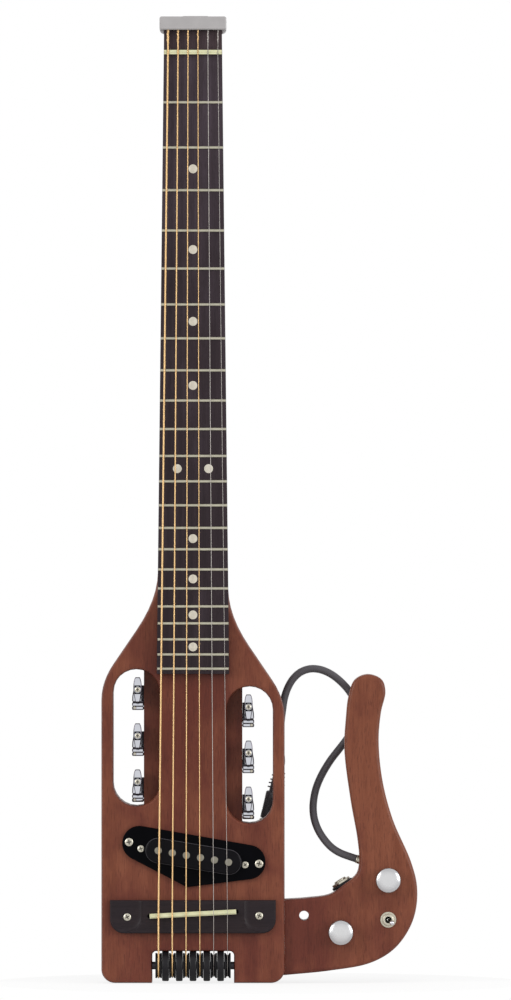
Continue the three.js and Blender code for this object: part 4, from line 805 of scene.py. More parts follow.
lapRestLook = {
    "left": 67.8, "overlap": 6, "reach": 97.7, "base": 5.5, "height": 221.8,
    "front": guitar["armFrontY"], "back": 9, "round": 3, "wall": 4, "cutSpare": 2,
    # across and up, as shares of the reach and the height
    "outline": [
        (0, 0), (0.339, 0.015), (0.641, 0.04), (0.819, 0.085), (0.934, 0.151), (0.988, 0.218),
        (0.996, 0.297), (0.951, 0.377), (0.814, 0.517), (0.735, 0.649), (0.707, 0.782),
        (0.725, 0.875), (0.758, 0.942), (0.731, 0.982), (0.625, 1), (0.528, 0.982),
        (0.482, 0.931), (0.459, 0.849), (0.449, 0.749), (0.495, 0.583), (0.548, 0.45),
        (0.56, 0.381), (0.54, 0.337), (0.437, 0.299), (0.339, 0.269), (0.166, 0.257), (0, 0.252),
    ],
    # the part of the body that its end fits
    "bodySide": 67.58, "bodyLeft": 37.58, "bodyTop": 110, "bodyGap": 0.08, "bodyCorner": 10,
    "volume": (143.8, 75.6), "tone": (108.9, 37.1), "switch": (143.9, 46.4), "peg": (81.8, 49.4),
    "cavityRadii": (13, 11, 13), "coverLip": 3, "coverSeat": 6.5, "pins": (17, 39),
    "output": (110.7, -3.5, 71.3), "outputLean": -31.3,
    # radius of each bore, and where it starts and ends along its axis
    "pegBore": (3.55, -1, 27), "shaftBore": (3.7, -1, 5), "switchBore": (3.4, -1, 5),
    "pinBore": (4.3, -2, 18.3), "glandBore": (3.55, -14, 3), "jackBore": (5, -24, 1),
    "jackSeat": (8.6, 0, 5),
}
outputAxis = lean(lapRestLook["outputLean"])
outputPlace = at(*lapRestLook["output"])
glandPlace = at(*cordLook["gland"])


def onFront(place):
    # a place on the lap rest's front
    return at(place[0], lapRestLook["front"], place[1])


def cavityBand(margin, steps=48):
    look = lapRestLook
    places = (look["volume"], look["switch"], look["tone"])
    return bandRound([(x, z, radius + margin) for (x, z), radius in zip(places, look["cavityRadii"])], steps)


def lapRestWood():
    look = lapRestLook
    corners = [
        Vector((look["left"] + look["reach"] * across, 0, look["base"] + look["height"] * up))
        for across, up in look["outline"]
    ]
    curve = [(point.x, point.z) for point in smoothRoute(corners, 9)]
    ends = [(look["left"] - look["overlap"], curve[-1][1]), (look["left"] - look["overlap"], curve[0][1])]
    front, back, spare = look["front"], look["back"], look["cutSpare"]
    arm = placedSlab("woodLapRest", curve + ends, front, back, look["round"], 5)
    # its end lies along the body's side and its rounded corner
    gap = look["bodyGap"]
    side = rectangle(look["bodyLeft"], -gap, look["bodySide"], look["bodyTop"], look["bodyCorner"] + gap, 20)
    for outline, start in (
        (side, front - spare), (cavityBand(0), front + look["wall"]),
        (cavityBand(look["coverLip"]), look["coverSeat"]),
    ):
        cutWith(arm, placedSlab("cutter", outline, start, back + spare))
    boreInto(arm, look["pegBore"], onFront(look["peg"]), backward, 64)
    for bore, place in (("shaftBore", "volume"), ("shaftBore", "tone"), ("switchBore", "switch")):
        boreInto(arm, look[bore], onFront(look[place]), backward, 32)
    for z in look["pins"]:
        boreInto(arm, look["pinBore"], at(look["left"], guitar["armMidY"], z), rightward, 32)
    boreInto(arm, look["jackBore"], outputPlace, outputAxis)
    boreInto(arm, look["jackSeat"], outputPlace, outputAxis)
    boreInto(arm, look["glandBore"], glandPlace, glandAxis)
    return arm


woodLapRest = lapRestWood()
fitOut(woodLapRest, "lap_rest", armMahogany, "lap_rest")
evenShade(woodLapRest)
print("wood made")


# Fretboard with its frets and dots

boardLook = {"edge": 0.25, "nutSlot": 3.4}
fretLook = {"width": 2.2, "height": 1.0, "endLean": 0.35, "inset": 0.3, "sunk": 0.05, "count": 22}
dotLook = {
    "profile": [(3.25, -0.6), (3.25, 0.02), (3.13, 0.05)],
    "places": [(0, 3), (0, 5), (0, 7), (0, 9), (-11.5, 12), (11.5, 12), (0, 15), (0, 17), (0, 19), (0, 21)],
}


def fretZ(number):
    return guitar["nutZ"] - guitar["scaleLength"] * (1 - 2 ** (-number / 12))


def boardPiece(name, low, high):
    wide, narrow = halfWidth(low), halfWidth(high)
    outline = [(-wide, low), (wide, low), (narrow, high), (-narrow, high)]
    back = guitar["frontY"] - guitar["glueGap"]
    return placedSlab(name, outline, guitar["boardFrontY"], back, boardLook["edge"])


board = boardPiece("fretboardWood", guitar["boardEndZ"], guitar["nutZ"] - guitar["glueGap"])
headBoard = boardPiece("headBoardWood", guitar["nutZ"] + boardLook["nutSlot"], guitar["headEndZ"])
fitOut(board, "guitar", rosewood, "fretboard")
fitOut(headBoard, "guitar", headRosewood)


def fretBlank():
    # a rod of diameter 1 and length 1 laid along X, whose back half is cut away
    deselectAll()
    bpy.ops.mesh.primitive_cylinder_add(vertices=20, radius=0.5, depth=1, rotation=(0, math.pi / 2, 0))
    blank = bpy.context.object
    bpy.ops.object.transform_apply(rotation=True)
    editAll(blank)
    bpy.ops.mesh.bisect(plane_co=(0, 0, 0), plane_no=(0, 1, 0), clear_outer=True, use_fill=True)
    bpy.ops.object.mode_set(mode="OBJECT")
    return blank


blank = fretBlank()
frets = []
for number in range(1, fretLook["count"] + 1):
    fret = twin(blank, "fret")
    z = fretZ(number)
    wide = 2 * halfWidth(z) - fretLook["inset"]
    for vert in fret.data.vertices:
        crest = -vert.co.y * 2
        x = vert.co.x * (wide - 2 * fretLook["endLean"] * crest)
        rise = -fretLook["sunk"] if vert.co.y > -1e-4 else crest * fretLook["height"]
        vert.co = at(x, guitar["boardFrontY"] - rise, z + vert.co.z * fretLook["width"])
    frets.append(fret)
discard(blank)
frets = joined(frets, "frets")
closeUp(frets)
fitOut(frets, "guitar", fretNickel, smooth=50)

dot = turnedPiece("dot", dotLook["profile"], 36)
dots = []
for x, number in dotLook["places"]:
    z = (fretZ(number) + fretZ(number - 1)) / 2
    dots.append(settle(twin(dot, "dot"), at(x, guitar["boardFrontY"], z)))
discard(dot)
fitOut(joined(dots, "fretDots"), "guitar", inlay)
print("fretboard made")


# Nut, saddle and head cap

nutLook = {"groove": (-23, 685.25, 23, 685.5), "grooveFront": -32, "grooveFloor": -30.05}
saddleLook = {"spare": 0.35}
capLook = {"lip": (-7.4, 711.2, 11, 712.05, 0.3, 3), "lipFront": -29, "lipBack": -12, "round": 0.3}
nut = refined("nut", "boneNut")
groove = rectangle(*nutLook["groove"])
cutWith(nut, placedSlab("cutter", groove, nutLook["grooveFront"], nutLook["grooveFloor"]))
fitOut(nut, "guitar", bone, "nut")
saddle = refined("saddle", "boneSaddle")
for vert in saddle.data.vertices:
    # room for the slot's ends, where the black sheet of painted shade shows
    vert.co.x -= math.copysign(saddleLook["spare"] * mm, vert.co.x - at(0, 0, 0).x)
fitOut(saddle, "guitar", bone, "saddle")
evenShade(saddle)
cap = refined("head_cap", "castCap")
fitOut(cap, "guitar", castGrey, "head_cap")
evenShade(cap)
lip = rectangle(*capLook["lip"])
capLip = placedSlab("capLip", lip, capLook["lipFront"], capLook["lipBack"], capLook["round"])
fitOut(capLip, "guitar", castGrey)
nodes["saddle_pickup"].data.materials.clear()
nodes["saddle_pickup"].data.materials.append(blackAndShade)
print("nut, saddle and cap made")


# Strings

stringLook = {
    "diameters": [1.35, 1.07, 0.81, 0.61, 0.41, 0.3], "wirePitches": [0.42, 0.34, 0.27, 0.2], "sides": 12,
    "spreadAtNut": 36.7, "spreadAtSaddle": 50.75, "riseAtCap": 8.05, "riseAtNut": 8.45, "riseAtSaddle": 10.5,
    "saddleZ": 51.05, "saddleSlope": 3.3 / 64.4, "endZ": 708.2, "rollerRadius": 7.8, "postRadius": 3,
    "gap": 0.3, "windingGap": 0.55, "windingTurns": 2.25, "windingInsets": [0, 5.4, 8.4],
    "twistLength": 9.5, "twistGrowth": 0.32, "twistLeast": 0.3, "twistPitch": 2.1, "twistSway": 0.12,
    "twistFade": 2, "twistStop": 9.1, "steps": 40, "rollerSteps": 24, "postSteps": 64,
}
tunerLook = {
    "x": 40.9, "leftZ": [148.1, 182.05, 216.0], "rightZ": [135.4, 169.35, 203.3], "postDrop": 8.0,
}


def arc(centreY, centreZ, radius, start, end, steps, fromX, toX):
    found = []
    for i in range(steps + 1):
        share = i / steps
        angle = start + (end - start) * share
        y, z = centreY + radius * math.cos(angle), centreZ + radius * math.sin(angle)
        found.append((fromX + (toX - fromX) * share, y, z))
    return found


def stringRoute(i):
    look, steps = stringLook, stringLook["steps"]
    diameter, across = look["diameters"][i], i / 5 - 0.5
    left = i < 3
    row, side = (i, -1) if left else (5 - i, 1)
    postY, postZ = guitar["tunerY"], tunerLook["leftZ" if left else "rightZ"][row] - tunerLook["postDrop"]
    nutX, tailX = look["spreadAtNut"] * across, look["spreadAtSaddle"] * across
    postX = side * (look["spreadAtSaddle"] / 2 - look["windingInsets"][row])
    front, axleY, axleZ = guitar["frontY"], guitar["axleY"], guitar["axleZ"]
    # from the cap over the nut to the saddle
    points = [(nutX, front - look["riseAtCap"], look["endZ"])]
    for k in range(steps + 1):
        down = k * look["twistLength"] / steps
        points.append((nutX, front - look["riseAtCap"], guitar["headEndZ"] - down))
    nut = Vector((nutX, front - look["riseAtNut"], guitar["nutZ"]))
    onSaddle = (tailX, front - look["riseAtSaddle"], look["saddleZ"] + look["saddleSlope"] * tailX)
    points += [tuple(nut.lerp(Vector(onSaddle), k / steps)) for k in range(steps + 1)]
    # round the roller, up the channel and round the post
    onRoller = look["rollerRadius"] + look["gap"] + diameter / 2
    onPost = look["postRadius"] + look["gap"] + diameter / 2
    saddleY, saddleZ = onSaddle[1] - axleY, onSaddle[2] - axleZ
    meets = math.atan2(saddleZ, saddleY) + math.acos(onRoller / math.hypot(saddleZ, saddleY))
    away = math.hypot(postZ - axleZ, postY - axleY)
    toPost = math.atan2(postZ - axleZ, postY - axleY)
    leaves = toPost - math.acos((onRoller + onPost) / away) + 2 * math.pi
    points += arc(axleY, axleZ, onRoller, meets, leaves, look["rollerSteps"], tailX, tailX)
    turns = look["windingTurns"]
    endX = postX - side * turns * (diameter + look["windingGap"])
    start = leaves - math.pi
    end = start - turns * 2 * math.pi
    return points + arc(postY, postZ, onPost, start, end, look["postSteps"], postX, endX)


def twisted(points, radius):
    # near the cap the string's end is twisted back round itself, which thickens it in lumps
    look = stringLook
    found, radii = [], []
    for x, y, z in points:
        along = guitar["headEndZ"] - z
        grown = sway = 0.0
        if -0.1 <= along <= look["twistStop"] and y < guitar["frontY"]:
            turn = 2 * math.pi * along / look["twistPitch"]
            fade = min(1, (look["twistLength"] - along) / look["twistFade"])
            lump = look["twistLeast"] + (1 - look["twistLeast"]) * (1 + math.sin(turn)) / 2
            grown = look["twistGrowth"] * lump * fade
            sway = look["twistSway"] * math.sin(turn / 2) * fade
        found.append(at(x + sway, y, z))
        radii.append((radius + grown) * mm)
    return found, radii


for i, diameter in enumerate(stringLook["diameters"]):
    string = tubeMesh(f"string{i + 1}", *twisted(stringRoute(i), diameter / 2), stringLook["sides"])
    if i < len(stringLook["wirePitches"]):
        finish, slot = makeWinding(f"winding{i + 1}", stringLook["wirePitches"][i]), "wound_string"
    else:
        finish, slot = plainString, "plain_string"
    fitOut(string, "guitar", finish, f"string_{i + 1}", 60)
print("strings made")


# Screws with a cross in the head, modelled once for each size

screwLook = {
    "sides": 28, "crossWidth": 0.14, "crossLength": 0.7, "crossDepth": 0.5, "crossFoot": 0.45,
    "dome": 0.28, "fill": 0.45, "fillShare": 0.85,
    # share of the radius, with the height and then with the share of the dome's height
    "rim": [(0.93, -0.6), (1, -0.45), (1, 0.02)],
    "crown": [(0.93, 0.42), (0.75, 0.74), (0.45, 0.94), (0.12, 1)],
}
screwGroups = {
    # radius, place along Y, then x, z and turn of each
    "bridgeScrews": (2.9, -25.45, [(-48.4, 48.7, 0.5), (48.8, 49.6, 1.1)]),
    "plateScrews": (3.15, -24.85, [(-47.1, 103.9, 0.1), (48.7, 87.9, 1.35)]),
    "pickupScrews": (2.6, -24.85, [(-38.4, 99.0, 0.3), (38.4, 87.1, 0.7)]),
    "coverScrews": (1.9, 8.75, [(131, 87, 0.4), (154.5, 37, 0.9), (99, 29.5, 0.2)]),
}


def crossBlade(radius, wide, top, deep, turned, share=1):
    # one bar of the cross, narrower at its foot
    deselectAll()
    bpy.ops.mesh.primitive_cube_add(size=1)
    blade = bpy.context.object
    across, along = radius * wide * 2 * share, radius * screwLook["crossLength"] * 2 * share
    for vert in blade.data.vertices:
        x, y, z = vert.co
        taper = 1 if z > 0 else screwLook["crossFoot"]
        vert.co = Vector((x * along * taper, y * across * taper, (z - 0.5) * deep + top)) * mm
    blade.data.transform(Matrix.Rotation(turned, 4, "Z"))
    return blade


def screwHead(radius, wide=screwLook["crossWidth"], fill=screwLook["fill"]):
    # a domed head with a cross cut into it, and a dark piece at the foot of the cross that paints its shade
    look = screwLook
    dome = look["dome"] * radius
    deep = radius * look["crossDepth"] + dome
    profile = [(radius * share, height) for share, height in look["rim"]]
    profile += [(radius * share, dome * height) for share, height in look["crown"]]
    head = turnedPiece("screwHead", profile, look["sides"])
    turns = (0, math.pi / 2)
    for turned in turns:
        cutWith(head, crossBlade(radius, wide, dome * 2, deep + dome, turned))
    top = dome - deep * fill
    crossShade, other = [crossBlade(radius, wide, top, deep, turned, look["fillShare"]) for turned in turns]
    cutWith(crossShade, other, "UNION")
    crossShade.name = "screwCross"
    return head, crossShade


def placeScrews(name, body="guitar", axis=facing):
    radius, y, places = screwGroups[name]
    head, crossShade = screwHead(radius)
    for blank, kind, finish, slot, smooth in (
        (head, name, nickel, "steel", 30), (crossShade, name + "Cross", crossShadeGrey, "satin_black", 35),
    ):
        made = [settle(twin(blank, kind), at(x, y, z), axis, spun) for x, z, spun in places]
        fitOut(joined(made, kind), body, finish, smooth=smooth)
    discard(head, crossShade)


placeScrews("bridgeScrews")
placeScrews("plateScrews")
placeScrews("pickupScrews")
print("screws made")


# Bridge, pickup plate and pickup

bridgeLook = {
    "halfWidth": 61, "low": 36.7, "high": 61.1, "corner": 10, "front": -27.35, "back": -22.35, "round": 1,
    "drop": 2.2, "scoopX": 48.5, "scoopZ": 49.1, "scoopRadius": 11.2, "cove": 5, "fade": (47, 56),
    "covePlaces": [0.06, 0.2, 0.45, 0.8, 1.2, 1.7, 2.3, 2.9, 3.5, 4.1, 4.7, 5.3],
    "edgeShares": [0, 0.004, 0.015, 0.03, 0.045], "innerShare": 0.07,
    "slotHalf": 33.7, "slotWide": 3.7, "slotFloor": -23.4, "slotSpare": -30,
    "liningFront": -26.2, "liningGap": 0.05, "liningInner": 31.95,
}


def within(value):
    return min(max(value, 0), 1)


def bridgeStations():
    # places along X, close together where the surface turns, and shares of the way up
    look = bridgeLook
    edge, scoop = look["halfWidth"] - look["corner"], look["scoopX"] - look["scoopRadius"]
    last, margin = scoop + look["covePlaces"][-1], look["innerShare"]
    right = [scoop * k / 12 for k in range(13)] + [scoop + place for place in look["covePlaces"]]
    right += [last + (edge - last) * k / 14 for k in range(1, 15)]
    right += [edge + look["corner"] * math.sin(math.radians(90 * k / 20)) for k in range(1, 21)]
    shares = look["edgeShares"] + [margin + (1 - 2 * margin) * k / 40 for k in range(41)]
    return [-x for x in right[:0:-1]] + right, shares + [1 - share for share in look["edgeShares"][::-1]]


def bridgeLowEdge(x):
    look = bridgeLook
    beyond = max(0, abs(x) - look["halfWidth"] + look["corner"])
    return look["low"] + look["corner"] - math.sqrt(max(0, look["corner"] ** 2 - beyond ** 2))


def bridgeFront(x, z):
    # how the front falls away in the scoops and round the edges
    look = bridgeLook
    across = abs(x)
    inside = across - look["scoopX"] + look["scoopRadius"]
    if z < look["scoopZ"]:
        inside = look["scoopRadius"] - math.hypot(across - look["scoopX"], z - look["scoopZ"])
    rise = 1 - math.sqrt(1 - (1 - within(inside / look["cove"])) ** 2)
    start, end = look["fade"]
    fade = within((across - start) / (end - start))
    y = look["front"] + look["drop"] * (1 - rise * (1 - fade))
    beyond, below = across - look["halfWidth"] + look["corner"], look["low"] + look["corner"] - z
    fromEdge = min(look["high"] - z, look["halfWidth"] - across, z - look["low"])
    if beyond > 0 and below > 0:
        fromEdge = look["corner"] - math.hypot(beyond, below)
    near = 1 - within(fromEdge / look["round"])
    return y + look["round"] * (1 - math.sqrt(1 - near ** 2))


def bridgePiece():
    look = bridgeLook
    xs, shares = bridgeStations()
    across, up = len(xs) - 1, len(shares) - 1
    deselectAll()
    bpy.ops.mesh.primitive_grid_add(x_subdivisions=across, y_subdivisions=up, size=2)
    piece = bpy.context.object
    piece.name = "bridgeWood"
    for vert in piece.data.vertices:
        x = xs[round((vert.co.x + 1) / 2 * across)]
        share = shares[round((vert.co.y + 1) / 2 * up)]
        low = bridgeLowEdge(x)
        z = low + (look["high"] - low) * share
        vert.co = at(x, bridgeFront(x, z), z)
    # drawn out to the body, where the new face is laid flat
    editAll(piece)
    thick = (look["back"] - look["front"]) * mm
    bpy.ops.mesh.extrude_region_move(TRANSFORM_OT_translate={"value": (0, thick, 0)})
    bpy.ops.object.mode_set(mode="OBJECT")
    for vert in piece.data.vertices:
        if vert.select:
            vert.co.y = at(0, look["back"], 0).y
    closeUp(piece)
    return piece


def alongSaddle(name, wide, tall, corner, front, back):
    outline = slanted(middled(wide, tall, corner, 8), 0, stringLook["saddleZ"], stringLook["saddleSlope"])
    return placedSlab(name, outline, front, back)


def saddleSlot(name, gap, front):
    # the shape of the slot, smaller by a gap
    wide, tall = bridgeLook["slotHalf"] - gap, bridgeLook["slotWide"] / 2 - gap
    return alongSaddle(name, wide, tall, tall - 0.01, front, bridgeLook["slotFloor"] + gap)


bridge = bridgePiece()
cutWith(bridge, saddleSlot("cutter", 0, bridgeLook["slotSpare"]))
fitOut(bridge, "guitar", bridgeRosewood, "bridge", 30)
# a thin black sheet round the saddle paints the shade in its slot
slotShade = saddleSlot("slotLining", bridgeLook["liningGap"], bridgeLook["liningFront"])
look = bridgeLook
inner = alongSaddle("cutter", look["liningInner"], look["slotWide"], 0, look["slotSpare"], look["back"])
cutWith(slotShade, inner)
fitOut(slotShade, "guitar", blackAndShade)

plateLook = {
    "circles": [(-39.4, 103.1, 12.7), (40.7, 89.1, 12.7), (-3.6, 75.4, 4.6)],
    "front": -24.55, "back": -22.35, "round": 0.45,
}
outline = bandRound(plateLook["circles"], 144)
plate = placedSlab("pickupPlateGloss", outline, plateLook["front"], plateLook["back"], plateLook["round"], 3)
fitOut(plate, "guitar", glossBlack, "pickup_plate")
evenShade(plate)

pickupLook = {
    "length": 70.7, "width": 17.8, "x": 0.3, "z": 93.4, "slope": -11.7 / 70.7, "back": -24.65,
    "front": -28.85, "round": 1.1, "seam": 0.35, "seamFront": -24.95, "seamRound": 0.1,
    "pole": [(2.65, -1), (2.65, 0.3), (2.45, 0.5)], "polePitch": 10.5,
}


def onPickup(outline):
    return slanted(outline, pickupLook["x"], pickupLook["z"], pickupLook["slope"])


def pickupSlab(name, grown, front, round, segments):
    radius = pickupLook["width"] / 2 + grown
    outline = onPickup(middled(pickupLook["length"] / 2 + grown, radius, radius, 8))
    return placedSlab(name, outline, front, pickupLook["back"], round, segments)


cover = pickupSlab("pickupCover", 0, pickupLook["front"], pickupLook["round"], 3)
fitOut(cover, "guitar", pickupBlack, "pickup")
# a slightly larger grey slab behind the cover shows as a thin rim round it, a painted highlight of its edge
seam = pickupSlab("pickupSeam", pickupLook["seam"], pickupLook["seamFront"], pickupLook["seamRound"], 2)
fitOut(seam, "guitar", seamBlack)
pole = turnedPiece("pole", pickupLook["pole"], 32)
places = onPickup([(pickupLook["polePitch"] * (i - 2.5), 0) for i in range(6)])
poles = [settle(twin(pole, "pole"), at(x, pickupLook["front"], z)) for x, z in places]
discard(pole)
fitOut(joined(poles, "pickupPoles"), "guitar", poleSteel, smooth=30)
print("pickup made")


# Tail: axle, rollers and spacers

discLook = {
    # one half of the section, from the bore to the rim or the groove
    "roller": [
        (3.15, -2.4), (4.6, -2.4), (4.7, -2.15), (8.1, -2.15), (8.2, -2.4), (9.1, -2.4), (9.3, -2.2),
        (9.3, -1.35), (9.15, -1.2), (8.15, -0.6), (7.85, -0.35),
    ],
    "spacer": [(3.15, -2.52), (10.5, -2.52), (11.05, -2.38), (11.38, -2.02), (11.5, -1.52)],
}


def placeDisc(kind, number, place, body, node):
    half = discLook[kind]
    profile = half + [(radius, -height) for radius, height in half[::-1]]
    disc = turnedPiece(f"{kind}{number}", profile, 48, ring=True)
    x = stringLook["spreadAtSaddle"] * (place / 5 - 0.5)
    settle(disc, at(x, guitar["axleY"], guitar["axleZ"]), rightward)
    fitOut(disc, body, satinBlack, node, 30)


for i in range(6):
    placeDisc("roller", i + 1, i, f"string_roller_{i + 1}", f"string_roller_{i + 1}")
    if i < 5:
        placeDisc("spacer", i + 1, i + 0.5, "guitar", f"spacer_disc_{i + 1}")
fitOut(refined("roller_axle", "axleRod"), "guitar", darkSteelAndShade, "roller_axle", 40)
print("tail made")


# Tuners, modelled once about the origin and turned over for the left opening

buttonLook = {
    # places up the button, and half its width there
    "halfWidths": [
        (-9.15, 1.3), (-8.9, 1.6), (-6.5, 2.1), (-4, 2.55), (-1.5, 3.0), (1.5, 3.1), (4, 2.95),
        (6.5, 2.6), (8.5, 1.95), (9.0, 1.65), (9.15, 1.35),
    ],
    "front": -19.75, "back": -7.75, "round": 0.75,
    "window": (2.35, 3.25, 0.5, 3), "windowFront": -21.75, "windowFloor": -18.55,
    # a dark sheet on the window's floor paints its shade
    "dark": (2.32, 3.22, 0.45, 3), "darkFront": -18.67, "darkBack": -18.25,
    "boss": [(2.62, -0.2), (2.62, 0.95), (2.42, 1.15), (2.25, 1.15), (2.2, 0.9)],
    "shaft": [(2.4, -8.25), (2.4, -7.05), (2.2, -6.85), (1.7, -6.85), (1.7, -1.6)],
    "screwRadius": 2.1, "screwFront": -19.5, "crossWidth": 0.17, "crossFill": 0.25,
}
housingLook = {
    "case": [
        (-2.9, -9.8), (4.2, -9.8), (4.0, -5), (3.3, -1), (3.0, 2.0), (2.2, 3.4), (0.6, 4.1), (-2, 4.1),
        (-2.9, 3.0),
    ],
    "hollow": [
        (-3.2, -14.1), (3.2, -14.1), (3.2, -5.2), (2.75, -1.2), (2.5, 1.6), (1.6, 3.1), (-3.2, 3.1),
    ],
    "front": -4.5, "back": 11.5, "hollowFront": -3.5, "hollowBack": 10.5, "round": 0.9,
    "base": (-4.5, -15.2, 4.2, -9.6), "baseFront": -5, "baseBack": 11.7, "cutSpare": 1,
    # height, half the width and depth of each groove, which also sets how deep the painted shade at its foot
    # reaches
    "grooves": [(-12.4, 0.5, 0.8), (-9.1, 0.55, 1.2)],
    "seamSide": 0.4, "seamGap": 0.02, "seamFront": 0.15, "seamBack": 0.2,
    "shaftBore": (2, -1, 2), "postBore": (3.3, -6, -2),
    "pin": [(1.2, -1), (1.2, 0.25), (0.95, 0.45), (0.2, 0.5)], "pinPlace": (2.2, -5, -13.6),
    "flange": (-4.5, -9.5, -2.95, 2.9), "flangeFront": -1.5, "flangeBack": 9, "flangeRound": 0.3,
}


def fromMiddle(x, y, z):
    # a place about the middle of a tuner
    return Vector((x, y, z)) * mm


def buttonParts():
    # the button with the boss in its window and the shaft behind, a dark sheet of painted shade on the
    # window's floor, and the screw
    look = buttonLook
    side = smoothRoute([Vector((half, 0, up)) for up, half in look["halfWidths"]], 3)
    outline = [(point.x, point.z) for point in side] + [(-point.x, point.z) for point in side[::-1]]
    paddle = cushion("tunerButton", outline, look["front"], look["back"], look["round"])
    cutWith(paddle, slab("cutter", middled(*look["window"]), look["windowFront"], look["windowFloor"]))
    boss = settle(turnedPiece("boss", look["boss"], 36), fromMiddle(0, look["windowFloor"], 0))
    shaft = settle(turnedPiece("shaft", look["shaft"], 28), fromMiddle(0, 0, 0), backward)
    dark = slab("dark", middled(*look["dark"]), look["darkFront"], look["darkBack"])
    head, crossShade = screwHead(look["screwRadius"], look["crossWidth"], look["crossFill"])
    for piece in (head, crossShade):
        settle(piece, fromMiddle(0, look["screwFront"], 0))
    return joined([paddle, boss, shaft], "tunerButton"), dark, head, crossShade


def postBoreInto(piece):
    place = fromMiddle(0, guitar["tunerY"], -tunerLook["postDrop"])
    boreInto(piece, housingLook["postBore"], place, rightward, 32)


def housingShell():
    look = housingLook
    shell = slab("tunerHousing", look["case"], look["front"], look["back"], look["round"], 3)
    base = slab("base", rectangle(*look["base"]), look["baseFront"], look["baseBack"], look["round"], 3)
    cutWith(shell, base, "UNION")
    cutWith(shell, slab("cutter", look["hollow"], look["hollowFront"], look["hollowBack"]))
    spare = look["cutSpare"]
    left, _, right, _ = look["base"]
    for z, half, deep in look["grooves"]:
        # across the front, then down the side
        cuts = [(left - spare, look["front"] + deep), (right - deep / 2, look["baseBack"] + spare)]
        for start, back in cuts:
            groove = rectangle(start, z - half, right + spare, z + half)
            cutWith(shell, slab("cutter", groove, look["baseFront"] - spare, back))
    boreInto(shell, look["shaftBore"], fromMiddle(0, look["front"], 0), backward, 32)
    postBoreInto(shell)
    return shell


def housingGrooveShade():
    # a dark piece at the foot of each of the two grooves, which paints the grooves' shade
    look = housingLook
    left, _, right, _ = look["base"]
    grooveShades = []
    for z, half, deep in look["grooves"]:
        half -= look["seamGap"]
        outline = rectangle(left + look["seamSide"], z - half, right - look["seamSide"], z + half)
        front, back = look["front"] + look["seamFront"], look["front"] + deep + look["seamBack"]
        grooveShades.append(slab("seam", outline, front, back))
    return joined(grooveShades, "housingGrooveShade")


# the flange is dark steel, painted shade where it lies back against the wood
def housingFlange():
    look = housingLook
    outline = rectangle(*look["flange"])
    flange = slab("housingFlange", outline, look["flangeFront"], look["flangeBack"], look["flangeRound"])
    postBoreInto(flange)
    return flange


def turnedOver(piece):
    piece.data.transform(Matrix.Diagonal((-1, 1, 1, 1)))
    closeUp(piece)


button, dark, head, crossShade = buttonParts()
shell = housingShell()
pin = settle(turnedPiece("housingPin", housingLook["pin"], 24), fromMiddle(*housingLook["pinPlace"]))
grooveShades = housingGrooveShade()
flange = housingFlange()
# the dark window sheet, the crosses' dark pieces, the groove pieces and the flange's dark steel are painted
# shade
tunerParts = [
    (button, "tuner_button_{}", chrome, "chrome", "tuner_button_{}"),
    (dark, "tuner_button_{}", blackAndShade, "satin_black", ""),
    (head, "tuner_button_{}", nickel, "steel", ""),
    (crossShade, "tuner_button_{}", crossShadeGrey, "satin_black", ""),
    (shell, "guitar", chrome, "chrome", "tuner_housing_{}"),
    (pin, "guitar", nickel, "steel", ""),
    (grooveShades, "guitar", darkSteelAndShade, "satin_black", ""),
    (flange, "guitar", darkSteelAndShade, "steel", ""),
]
tunerPlaces = [(-tunerLook["x"], z) for z in tunerLook["leftZ"]]
tunerPlaces += [(tunerLook["x"], z) for z in tunerLook["rightZ"]]
for number, (x, z) in enumerate(tunerPlaces, 1):
    for blank, body, finish, slot, node in tunerParts:
        made = twin(blank, f"{blank.name}{number}")
        if x < 0:
            turnedOver(made)
        fitOut(moved(made, (x, 0, z)), body.format(number), finish, node.format(number))
    node = f"tuner_post_{number}"
    fitOut(refined(node, f"tunerPost{number}"), node, brightChrome, node, 40)
discard(button, dark, head, crossShade, shell, pin, grooveShades, flange)
print("tuners made")


# Lap rest's controls and fittings

knobLook = {
    "cap": [
        (8.2, 0.9), (8.9, 1.0), (9.15, 1.4), (9.15, 8.2), (9.0, 8.7), (8.5, 9.25), (7.6, 9.75), (6.3, 10.2),
        (4.8, 10.57), (3.2, 10.83), (1.6, 10.96), (0.3, 11),
    ],
    "shaft": [(3.2, -3.6), (3.2, 1.2)],
}
for key in ("volume", "tone"):
    parts = [turnedPiece("cap", knobLook["cap"], 72), turnedPiece("shaft", knobLook["shaft"], 24)]
    knob = settle(joined(parts, f"{key}Knob"), onFront(lapRestLook[key]))
    fitOut(knob, f"{key}_knob", knobChrome, f"{key}_knob", 50)

switchLook = {
    "bush": [
        (2.45, -4.05), (2.45, 2.45), (2.6, 2.6), (3.5, 2.6), (4.4, 1.9), (4.6, 1.6), (4.6, 0.8), (5.65, 0.8),
        (5.8, 0.65), (5.8, 0.1), (3.1, 0.1), (3.1, -4.05),
    ],
    "well": [(2.4, -4), (2.4, -2.5), (0.5, -2.6)],
    "box": (6.4, 6.4, 0.6, 3), "boxFront": -11.9, "boxBack": -0.9, "boxRound": 0.4,
    "lever": [
        (0.8, 0), (0.95, 3), (1.25, 7), (1.6, 9.4), (1.75, 10.6), (1.65, 11.5), (1.25, 12.1), (0.7, 12.4),
        (0.2, 12.45),
    ],
    "ballRadius": 1.5, "pivotDepth": 0.6, "axis": (0.2412, -0.951, -0.1932),
}
switchX, switchZ = lapRestLook["switch"]
switchPlace = onFront(lapRestLook["switch"])
look = switchLook
switchBox = slab("box", middled(*look["box"]), look["boxFront"], look["boxBack"], look["boxRound"])
bush = settle(turnedPiece("bush", switchLook["bush"], 56, ring=True), switchPlace)
switchBody = joined([bush, moved(switchBox, (switchX, 0, switchZ))], "switchBody")
